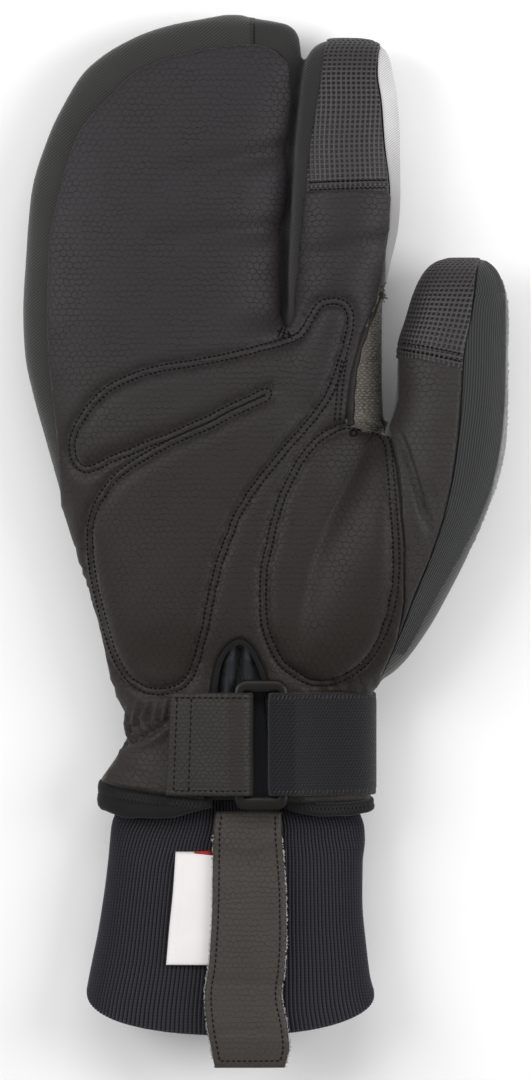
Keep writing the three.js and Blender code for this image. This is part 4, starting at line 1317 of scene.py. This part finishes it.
add_shell()
add_fourchette()
palm = draped("palm_panel", palm_outline(), 0.78, LEATHER, relief=palm_relief,
              lines=PAD_LINES)
draped("thumb_panel", thumb_outline(), 0.55, LEATHER_THUMB, lift=0.7,
       relief=thumb_relief)
draped("web_gusset", WEB_OUTLINE, 0.7, WEB, lift=0.6, relief=web_relief)


# Panels wound round the finger and the thumb

def palm_angle(form, column, inset=0.1):
    x = seam_of(form, column, inset)
    return lambda y: form.angle_at(y, x(y))


def add_tip_patches():
    """The waffle leather on both tips. On the thumb it reaches round the whole left side."""
    def thumb_left(y):
        return np.full_like(y, math.pi + 0.05)

    made = []
    for name, form, bottom, left_angle, lift, tilt in (
            ("index_tip_patch", INDEX, PATCH_Y["index"] - 1.2, palm_angle(INDEX, "seam_left"), 0.75, 0.04),
            ("thumb_tip_patch", THUMB, PATCH_Y["thumb"], thumb_left, 0.6, -0.24)):
        rows = meridian_rows(form, form.y[-1] - 0.1, bottom, PATCH_STEP)
        right_angle = palm_angle(form, "seam_right")
        made.append(wrapped(name, form, rows, right_angle, left_angle, PATCH_STEP, WAFFLE,
                            relief=patch_relief, lift=lift, wall=0.9, tilt=tilt))
    return made


def patch_relief(u, v, signed):
    up = v.max() - v
    hem = bell(up - 1.4, 0.35) + bell(up - 3.4, 0.35)
    fade = share_of(signed / 0.9)
    return waffle(u, v) * fade - 0.22 * hem


def ribs(pitch, depth):
    def relief(u, v, signed):
        return -depth * (0.5 - 0.5 * np.cos(math.tau * u / pitch)) * share_of(signed / 0.8)
    return relief


def wipe_angle(y):
    x = np.minimum(THUMB.at("wipe", y), THUMB.at("right", y) - 0.02)
    return THUMB.angle_at(y, x)


def wipe_front_angle(y):
    """The terry's front edge, which runs off behind the thumb towards the wrist."""
    return wipe_angle(y) - share_of((16.0 - y) / 30.0) * 0.9


def wipe_back_angle(y):
    return -THUMB.angle_at(y, THUMB.at("right", y) - 11.5) - share_of((16.0 - y) / 30.0) * 0.2


def terry_relief(u, v, signed):
    plan = stacked(u.ravel(), v.ravel())
    loops = wave_noise(plan, 1.9, 21) + 0.7 * wave_noise(plan, 1.0, 22)
    return 0.2 * loops.reshape(u.shape) * share_of(signed / 0.8)


def add_thumb_sides():
    rows = meridian_rows(THUMB, THUMB.y[-1] - 0.3, -30.0, 0.9)
    wrapped("thumb_side_panel", THUMB, rows, wipe_angle, palm_angle(THUMB, "seam_right"),
            0.175, STRETCH, lift=0.3, relief=ribs(0.7, 0.16), wall=0.7)
    rows = np.arange(68.3, -26.0, -0.55)
    wrapped("thumb_wipe", THUMB, rows, wipe_back_angle, wipe_front_angle, 0.5, TERRY,
            lift=0.3, relief=terry_relief, wall=1.0)


def grey_back_angle(y):
    return -INDEX.angle_at(y, np.minimum(INDEX.at("left", y) + 4.0, INDEX.at("right", y) - 0.5))


def grey_front_angle(y):
    on_side = palm_angle(INDEX, "seam_right")(y)
    return np.where(y > 74.0, on_side, on_side - (74.0 - y) * 0.05)


def add_index_back():
    rows = meridian_rows(INDEX, INDEX.y[-1] - 0.1, 66.0, 0.8)
    wrapped("index_back_panel", INDEX, rows, grey_back_angle, grey_front_angle, 0.8, GREY,
            lift=0.3, wall=0.7)


index_patch, thumb_patch = add_tip_patches()
add_thumb_sides()
add_index_back()


def add_palm_stitches():
    tree = surface_tree(palm)
    bars = []
    for line in PAD_LINES:
        for offset in (-ROW_APART, ROW_APART):
            bars += seam_bars(tree, offset_loop(line, offset), closed=True)
    stitch_bars("palm_stitches", bars, THREAD_BLACK)


def add_more_stitches():
    """Rows on the tip patches and beside the web, tacks at one crotch and a knot at the other."""
    bars = []
    index_tree, thumb_tree, palm_tree = (surface_tree(p) for p in (index_patch, thumb_patch, palm))
    for y in (91.1, 93.1):
        bars += seam_bars(index_tree, row_line([(11.6, y - 0.3), (31.4, y + 0.4)]), pitch=1.2, lift=0.12)
    for left, right in ((49.4, 46.2), (51.3, 48.2)):
        line = row_line([(35.6, left), (42.5, left - 1.3), (50.8, right)])
        bars += seam_bars(thumb_tree, line, pitch=1.2, lift=0.12)
    for inset in (1.0, 2.3):
        beside = ((22.4, 47.0), (21.7, 44.0), (21.0, 38.0), (20.4, 31.0))
        bars += seam_bars(palm_tree, row_line([(x - inset, y) for x, y in beside]))
    for ends in (((4.6, 55.4), (3.4, 52.6)), ((5.4, 55.0), (4.6, 52.2)), ((6.0, 54.6), (7.2, 52.0)),
                 ((3.2, 54.4), (7.0, 53.2))):
        bars += seam_bars(palm_tree, np.array(ends), pitch=1.5, fill=0.9)
    turns = np.arange(0, math.tau, 0.35)
    knot = [(23.0 + 0.95 * math.cos(turn), 27.9 + 0.85 * math.sin(turn)) for turn in turns]
    bars += seam_bars(palm_tree, np.array(knot), closed=True, pitch=0.7, fill=1.0, lift=0.2)
    stitch_bars("edge_stitches", bars, THREAD_BLACK)


def add_web_fold():
    """The palm's edge turned under beside the web, dark with painted shade, with a loose tuft at its top.
    """
    line = smooth_curve([(30.6, 66.0), (29.4, 62.4), (26.4, 55.6), (24.2, 49.6), (22.8, 43.6),
                         (22.1, 37.6), (21.8, 31.0), (22.0, 28.8)], 0.9, closed=False)
    run = relaxed_line(dropped(SKIN_TREE, line)[0], 4)
    run[:, 2] += 0.15
    share = np.linspace(0, 1, len(run))
    thick = 0.75 + 0.75 * share + 0.12 * np.sin(np.arange(len(run)) * 0.9)
    points, faces = tube(run, thick, 10, 0.62)
    add_piece("web_fold", points, faces, WEB_FOLD_SHADED)
    rng = np.random.default_rng(5)
    bars = []
    for _ in range(40):
        start = np.array([rng.uniform(29.8, 31.0), rng.uniform(62.6, 66.6), rng.uniform(17.0, 21.0)])
        end = start + np.array([rng.uniform(0.1, 1.3), rng.uniform(-1.2, 1.4), rng.uniform(-0.3, 0.6)])
        bars.append((start, end, UP, 0.16))
    stitch_bars("web_tuft", bars, WEB)


def add_seam_cords():
    """Thin dark lines where two cloths are sewn edge to edge: partly the seam itself, partly painted shade
    along it.
    """
    lines = [np.array([(-2.7, y) for y in np.arange(128.4, 137.2, 0.5)])]
    lines.append(along_y(seam_of(INDEX, "seam_right"), 84.0, 124.8, 0.8) + [0.15, 0.0])
    lines.append(along_y(seam_of(THUMB, "seam_right"), -36.0, 71.4, 0.8) + [0.1, 0.0])
    points, faces = [], []
    for line in lines:
        run, normals = dropped(SKIN_TREE, line)
        run = relaxed_line(run, 2)
        tube_points, tube_faces = tube(run + normals * 0.1, 0.14, 6)
        start = sum(len(p) for p in points)
        points.append(tube_points)
        faces += shifted(tube_faces, start)
    add_piece("seam_lines_and_shade", np.concatenate(points), faces, THREAD_BLACK)


add_palm_stitches()
add_more_stitches()
add_web_fold()
add_seam_cords()


# The vent over the strap

def vent_relief(plan, signed, place):
    x = plan[:, 0] - VENT_X
    lean = x - 0.06 * (plan[:, 1] - ARCH_TOP)
    fold = 1.5 * bell(np.abs(lean) - 2.4, 1.7)
    slit = -2.4 * bell(lean, 0.6)
    spread = share_of((ARCH_TOP - 1.0 - plan[:, 1]) / 5.0)
    return -1.9 + (fold + slit) * spread


def add_vent():
    gusset = draped("vent_gusset", vent_arch(0.6, VENT_FOOT), 0.6, VENT_CLOTH,
                    lift=0.5, relief=vent_relief, wall=0.6)
    arch = spaced(vent_arch(PIPING / 2, VENT_FOOT), 0.8)
    run = relaxed_line(dropped(SKIN_TREE, arch)[0], 3)
    points, faces = tube(run + 0.25 * UP, 0.82, 12)
    add_piece("vent_binding", points, faces, BINDING, replaces=("vent_binding",))
    tree = surface_tree(gusset)
    line = row_line([(-8.7, -27.6), (-10.6, -31.5), (-11.2, -36.0), (-11.5, -42.0)])
    stitch_bars("vent_stitches", seam_bars(tree, line, pitch=1.5), THREAD_BLACK)
    line = smooth_curve([(-6.6, -27.2), (-6.2, -29.6), (-7.0, -31.6), (-6.0, -33.8), (-5.2, -37.0),
                         (-4.6, -41.0)], 0.6, closed=False)
    run = relaxed_line(dropped(tree, line)[0], 3)
    points, faces = tube(run + 0.35 * UP, 0.4, 8)
    add_piece("vent_drawn_fold", points, faces, BINDING)


add_vent()


# Hem, cuff and straps

# Down the binding's outer face: distance below its top, and how far it stands off the hem
HEM_PROFILE = [(0.0, -0.9), (-0.1, 0.1), (0.5, 0.55), (1.6, 0.75), (2.9, 0.7), (3.2, 0.5), (3.5, 0.75),
               (5.0, 0.95), (6.3, 0.75), (7.1, 0.2), (7.4, -0.7), (7.2, -1.5)]


def add_hem():
    # The two ends lie beside the vent, between these angles, and turn up behind the buckle
    first, last = 1.70 - math.tau, 1.25
    angles = np.linspace(first, last, 460)
    end = np.minimum(angles - first, last - angles)
    full = share_of(end / 0.3) ** 0.7
    slack = 0.07 * np.sin(angles * 13) + 0.03 * np.sin(angles * 23 + 1.0)
    rings = []
    for down, grow in HEM_PROFILE:
        y = np.full(len(angles), HAND.y[0])
        ring = HAND.section(y, angles, floor=0.0)
        ring_out = HAND.section(y, angles, grow=1.0, floor=0.0)
        outward = ring_out - ring
        ring = ring + outward * (grow * (0.4 + 0.6 * full))[:, None]
        right = share_of(np.cos(angles)) + share_of(1 - (ring[:, 0] + 10.0) / -26.0)
        short = 1.0 - 0.55 * share_of(right)
        ring[:, 1] -= 0.3 + down * (0.45 + 0.55 * full) * short + slack * (1.0 if down > 3.4 else 0.4)
        rings.append(ring)
    points = np.concatenate(rings)
    faces = grid_faces(len(HEM_PROFILE), len(angles))
    piece = add_piece("hem_binding", points, faces, BINDING, replaces=("hem_binding",))
    thicken(piece, 0.9)
    tree = surface_tree(piece)
    bars = []
    for low, high in ((first + math.tau, math.pi - 0.12), (0.12, last)):
        turn = np.linspace(low, high, 300)
        line = HAND.section(np.full(len(turn), HAND.y[0]), turn, grow=0.6)[:, :2] - [0.0, 1.7]
        for slant in (0.5, -0.5):
            bars += edge_stitches(tree, line, 2.3, 1.0, slant, 0.2)
    stitch_bars("hem_overlock", bars, THREAD_GREY)


def rib_wave(position, count):
    return 0.5 - 0.5 * np.cos(math.tau * count * position)


CUFF_GIRTH = 190
CUFF_MIDDLE = (-8.0, -95.0, 15.0)


def add_cuff():
    ribs_round, per_rib, step = 158, 5, 1.1
    rows = np.arange(CUFF.y[-1], CUFF.y[0] - 0.01, -step)
    dense = np.linspace(math.pi / 2, 2.5 * math.pi, 721)
    columns = ribs_round * per_rib
    share = np.arange(columns) / columns
    outer = []
    for y in rows:
        line = CUFF.section(np.full(len(dense), y), dense)
        run = run_length(line)
        at = share * run[-1]
        outer.append(np.stack([np.interp(at, run, line[:, k]) for k in range(3)], axis=-1))
    outer = np.array(outer)
    faces = grid_faces(len(rows), columns, closed=True)
    flat = outer.reshape(-1, 3)
    faces, normals = facing_out(flat, faces, np.array(CUFF_MIDDLE))
    wave = np.tile(rib_wave(share, ribs_round), len(rows))
    plan = stacked(np.tile(share * CUFF_GIRTH, len(rows)), np.repeat(rows, columns))
    ribs_uv = stacked(np.tile(share * ribs_round, len(rows)), plan[:, 1])
    soft = 0.35 * wave_noise(plan, 40.0, 31)
    end = np.repeat(share_of((rows - CUFF.y[0]) / 1.5), columns)
    flat = flat + normals * (-0.62 * wave * (0.4 + 0.6 * end) + soft - 0.4 * (1 - end))[:, None]
    flat[:, 2] = np.maximum(flat[:, 2], 0.0)
    piece = add_piece("knit_cuff", flat, faces, KNIT, replaces=("knit_cuff",), uv=ribs_uv)
    thicken(piece, 1.5)


WRIST_LEFT, WRIST_RIGHT, WRIST_BACK, WRIST_PALM = -36.4, 27.6, 3.2, 27.0
HEM_LEFT = -42.6
STRAP_TOP, STRAP_BOTTOM = -39.2, -65.8
STRAP_HALF = (STRAP_TOP - STRAP_BOTTOM) / 2
STRAP_CLEAR = 0.8
TAB_THICK, ELASTIC_THICK = 1.6, 1.8
BUCKLE = {"left": -7.8, "right": 6.0, "top": -35.8, "bottom": -69.6, "bar": 2.2, "thick": 2.2}
BAR_Z = WRIST_PALM + STRAP_CLEAR + TAB_THICK + 0.3 + BUCKLE["thick"] / 2


def wrist_arc(start, stop, offset, count, left=WRIST_LEFT):
    angle = np.linspace(start, stop, count)
    c, s = np.cos(angle), np.sin(angle)
    half_x = (WRIST_RIGHT - left) / 2 + offset
    half_z = (WRIST_PALM - WRIST_BACK) / 2 + offset
    x = (left + WRIST_RIGHT) / 2 + half_x * signed_power(c, 2 / ROUND)
    z = (WRIST_BACK + WRIST_PALM) / 2 + half_z * signed_power(s, 2 / ROUND)
    return stacked(x, z)


def fold_round(side, thick):
    """The end of a strap folded round a buckle bar. side is -1 on the left bar, 1 on the right."""
    outer = BUCKLE["left"] if side < 0 else BUCKLE["right"]
    centre = outer - side * BUCKLE["bar"] + side * 0.3
    reach = BUCKLE["thick"] / 2 + 0.3 + thick / 2
    angle = np.linspace(math.pi / 2, -math.pi / 2, 14)
    bend = stacked(centre - side * reach * np.cos(angle), BAR_Z + reach * np.sin(angle))
    above = [outer + side * 1.4, BAR_Z + reach]
    below = [centre + side * 4.0, BAR_Z - reach]
    return np.concatenate([[above], bend, [below]])


def strap_path(arc, fold, step):
    """The wrist's arc led smoothly up into the fold round the bar."""
    path = spaced(np.concatenate([arc, fold]), step)
    bend = int(len(spaced(fold, step)) + 1)
    last = len(path) - bend
    for _ in range(260):
        path[2:last] = (path[1:last - 1] + path[3:last + 1]) / 2
    return path


def elastic_relief(run, place):
    lean = run + 0.62 * place
    return 0.045 * np.cos(math.tau * lean / 0.95) - 0.12 * (np.abs(place) > STRAP_HALF - 1.7)


def tab_relief(run, place):
    edge = np.abs(place) - STRAP_HALF
    return -0.12 * bell(edge + 1.9, 0.4) + 0.05 * np.sin(run / 2.1 + place / 3.0)


def edge_stitches(tree, line, length, pitch=1.05, slant=0.35, radius=0.24):
    """Overcast stitches: short bars across a plan line."""
    bars = []
    at = spaced(np.array(line, float), pitch)
    across = np.array([slant, 1.0]) * length / 2
    first, n0 = dropped(tree, at - across)
    second, n1 = dropped(tree, at + across)
    for a, b, n in zip(first, second, n0 + n1):
        unit = n / np.linalg.norm(n)
        if abs(a[2] - b[2]) < 1.2:
            bars.append((a + unit * 0.05, b + unit * 0.05, unit, radius))
    return bars


def add_straps():
    tab_arc = wrist_arc(2.0, 1.86, STRAP_CLEAR + TAB_THICK / 2, 8, HEM_LEFT)
    path = strap_path(tab_arc, fold_round(-1, TAB_THICK), 0.5)
    points, faces, uv = band(path, TAB_THICK, STRAP_TOP, STRAP_BOTTOM, tab_relief, 0.5, 40)
    lean = 0.95 - 1.4 * (STRAP_TOP - points[:, 1]) / (STRAP_TOP - STRAP_BOTTOM)
    points[:, 0] += lean * share_of(1 - uv[:, 0] / 9.0)
    tab = add_piece("wrist_tab", points, faces, TAB_LEATHER, replaces=("wrist_tab",),
                    uv=uv)
    tree = surface_tree(tab)
    bars = []
    for top_x, foot_x in ((-22.6, -23.5), (-18.9, -19.6)):
        line = row_line([(top_x, STRAP_TOP - 1.2), (foot_x, STRAP_BOTTOM + 1.0)])
        bars += seam_bars(tree, line, pitch=1.5)
    for y in (STRAP_TOP - 1.3, STRAP_BOTTOM + 1.3):
        bars += seam_bars(tree, row_line([(-23.4, y), (-4.2, y)]), pitch=1.45, radius=0.26)
    stitch_bars("tab_stitches", bars, THREAD_BLACK)
    arc = wrist_arc(-1.9, 1.0, STRAP_CLEAR + ELASTIC_THICK / 2, 120)
    path = strap_path(arc, fold_round(1, ELASTIC_THICK), 0.3)
    points, faces, uv = band(path, ELASTIC_THICK, STRAP_TOP, STRAP_BOTTOM, elastic_relief, 0.6, 100)
    elastic = add_piece("elastic_band", points, faces, ELASTIC, replaces=("elastic_band",),
                        uv=uv)
    tree = surface_tree(elastic)
    bars = []
    for y in (STRAP_TOP - 0.95, STRAP_BOTTOM + 0.95):
        bars += edge_stitches(tree, [(1.6, y), (28.6, y)], 1.5)
    stitch_bars("elastic_edge_stitches", bars, THREAD_LIGHT)


def rounded_rectangle(x0, x1, y0, y1, r, count=7):
    corners = [(x1 - r, y1 - r, 0), (x0 + r, y1 - r, 1), (x0 + r, y0 + r, 2), (x1 - r, y0 + r, 3)]
    loop = []
    for x, y, quarter in corners:
        for t in np.linspace(0, math.pi / 2, count):
            angle = t + quarter * math.pi / 2
            loop.append((x + r * math.cos(angle), y + r * math.sin(angle)))
    return np.array(loop)


def add_buckle():
    b = BUCKLE
    # Round the bar's section: share of the way from the outer to the inner edge, and height
    profile = [(0.0, -0.4), (0.0, 0.45), (0.05, 0.78), (0.16, 0.97), (0.4, 1.05), (0.7, 1.04), (0.92, 0.9),
               (1.0, 0.5), (1.0, -0.4), (0.94, -0.8), (0.5, -1.0), (0.06, -0.8)]
    outer = rounded_rectangle(b["left"], b["right"], b["bottom"], b["top"], 3.2)
    inner = rounded_rectangle(b["left"] + b["bar"], b["right"] - b["bar"], STRAP_BOTTOM - 0.15,
                              STRAP_TOP + 0.15, 0.9)
    rings = []
    for share, height in profile:
        plan = outer + (inner - outer) * share
        z = np.full((len(plan), 1), BAR_Z + height * b["thick"] / 2)
        rings.append(np.concatenate([plan, z], axis=1))
    count, around = len(profile), len(outer)
    faces = grid_faces(count, around, closed=True)
    faces += [((count - 1) * around + c, (count - 1) * around + (c + 1) % around, (c + 1) % around, c)
              for c in range(around)]
    add_piece("buckle_ring", np.concatenate(rings), faces, PLASTIC, replaces=("buckle_ring",))


STRIP_COLUMNS = ("y", "left", "right", "lift")
PULL_ROWS = [
    (-70.0, -12.6, 4.4, 0.6), (-75.0, -13.2, 4.4, 0.8), (-82.0, -13.3, 4.9, 2.0),
    (-92.0, -13.4, 5.5, 2.3), (-102.0, -13.8, 5.6, 2.3), (-110.0, -14.4, 5.2, 2.0),
    (-117.0, -15.4, 4.4, 1.6), (-125.0, -14.8, 5.8, 1.6), (-130.4, -13.8, 6.4, 1.4),
    (-135.8, -12.8, 5.2, 0.8)]
LABEL_ROWS = [
    (-80.4, -23.0, -7.0, 0.8), (-90.0, -23.6, -7.0, 0.8), (-100.0, -24.6, -8.0, 0.8),
    (-109.5, -25.4, -8.0, 0.8)]
PULL = Form(STRIP_COLUMNS, PULL_ROWS)
TAG = Form(STRIP_COLUMNS, LABEL_ROWS)


def cuff_height(x, y):
    """Height of the cuff's palm side at plan points."""
    nominal = np.array(y, float)
    for _ in range(10):
        back, palm = CUFF.at("back", nominal), CUFF.at("palm", nominal)
        c = CUFF.cosine_at(nominal, x)
        s = np.sqrt(1 - c * c)
        z = (back + palm) / 2 + (palm - back) / 2 * s ** (2 / ROUND)
        nominal = y + CUFF.at("bow", nominal) * s + CUFF.at("lean", nominal) * c
    return z


def strip_surface(form, y, share, extra=0.0):
    """A point on a strip's upper face. share runs from 0 at its left edge to 1."""
    left, right = form.at("left", y), form.at("right", y)
    x = left + (right - left) * share
    return stacked(x, y, cuff_height(x, y) + form.at("lift", y) + extra)


def strip_creases(share, y):
    """A bend under the pull tab's folded top, and soft ones across it near its end."""
    middle = 1 - (2 * share - 1) ** 2
    bend = bell(y + 76.2 + 3.4 * middle, 0.8) * middle
    soft = bell(y + 113.6 + 0.8 * share, 1.1) + bell(y + 127.6 - 1.2 * middle, 1.0)
    return -0.3 * bend - 0.22 * soft


def add_strip(name, form, thick, material, step, wave):
    ys = np.append(np.arange(form.y[-1], form.y[0], -step), form.y[0])
    shares = np.linspace(0, 1, 30)
    y, share = np.meshgrid(ys, shares, indexing="ij")
    top = strip_surface(form, y, share, thick)
    plan = top.reshape(-1, 3)[:, :2]
    top[..., 2] += (wave * wave_noise(plan, 16.0, 41)).reshape(y.shape)
    top[..., 2] += wave / 0.12 * strip_creases(share, y)
    edge = np.minimum(share, 1 - share) * (form.at("right", y) - form.at("left", y))
    ends = np.minimum(y - form.y[0], form.y[-1] - y)
    top[..., 2] -= 0.3 * np.exp(-np.minimum(edge, ends) / 0.35)
    top[..., 2] -= 0.14 * bell(edge - 1.7, 0.35)
    faces = turned(grid_faces(len(ys), len(shares)))
    piece = add_piece(name, top.reshape(-1, 3), faces, material, replaces=(name,), uv=plan)
    thicken(piece, thick * 0.85)
    return piece


add_hem()
add_cuff()
add_straps()
add_buckle()
pull = add_strip("pull_tab", PULL, 1.8, PULL_LEATHER, 0.8, 0.12)
add_strip("label", TAG, 0.8, LABEL, 0.8, 0.05)


def add_pull_trim():
    """Stitch rows inside the pull tab's edges, and its raw frayed edges."""
    tree = surface_tree(pull)
    ys = np.linspace(PULL.y[-1] - 1.0, PULL.y[0] + 1.8, 60)
    left = stacked(PULL.at("left", ys) + 1.6, ys)
    right = stacked(PULL.at("right", ys) - 1.6, ys)
    bars = []
    for line in (left, right, row_line([left[-1], right[-1]])):
        bars += seam_bars(tree, line, pitch=1.4, radius=0.2)
    stitch_bars("pull_tab_stitches", bars, THREAD_BLACK)
    rng = np.random.default_rng(8)
    fibres = []
    for side, column in ((-1, "left"), (1, "right")):
        for _ in range(330):
            y = rng.uniform(PULL.y[0] + 0.2, PULL.y[-1] - 6.0)
            x = float(PULL.at(column, y)) + side * rng.uniform(-0.1, 0.12)
            ground = float(cuff_height(np.array([x]), np.array([y]))[0]) + float(PULL.at("lift", y))
            start = np.array([x, y, ground + rng.uniform(0.5, 1.6)])
            lean = [side * rng.uniform(-0.1, 0.45), rng.uniform(-0.9, 0.9), rng.uniform(-0.3, 0.3)]
            end = start + np.array(lean)
            fibres.append((start, end, UP, rng.uniform(0.07, 0.15)))
    stitch_bars("pull_tab_frayed_edge", fibres, FRAY)


def add_label_seam():
    """The red sliver that shows at the label's upper end."""
    x = np.array([-18.2, -13.4, -13.4, -18.2])
    y = np.array([-80.3, -80.1, -81.2, -80.7])
    z = cuff_height(x, y) + 1.9
    points = stacked(x, y, z)
    piece = add_piece("label_red_edge", points, [(0, 3, 2, 1)], RED)
    thicken(piece, 0.3)


add_pull_trim()
add_label_seam()

bpy.data.objects.remove(skin_piece)

add_camera()
add_lights()


def floor_material():
    shade = Shade("paper_floor")
    grain = shade.noise(shade.place(), 0.05, 2.0)
    shade.set(Base_Color=shade.mix(grain, (0.93, 0.93, 0.93), (0.95, 0.95, 0.95)), Roughness=0.9)
    return shade.material


def add_floor():
    mesh = bpy.data.meshes.new("floor")
    corners = [(FLOOR_HALF * x, FLOOR_HALF * y, 0) for x, y in ((-1, -1), (1, -1), (1, 1), (-1, 1))]
    mesh.from_pydata(corners, [], [(0, 1, 2, 3)])
    mesh.materials.append(floor_material())
    floor = linked("floor", mesh)


add_floor()
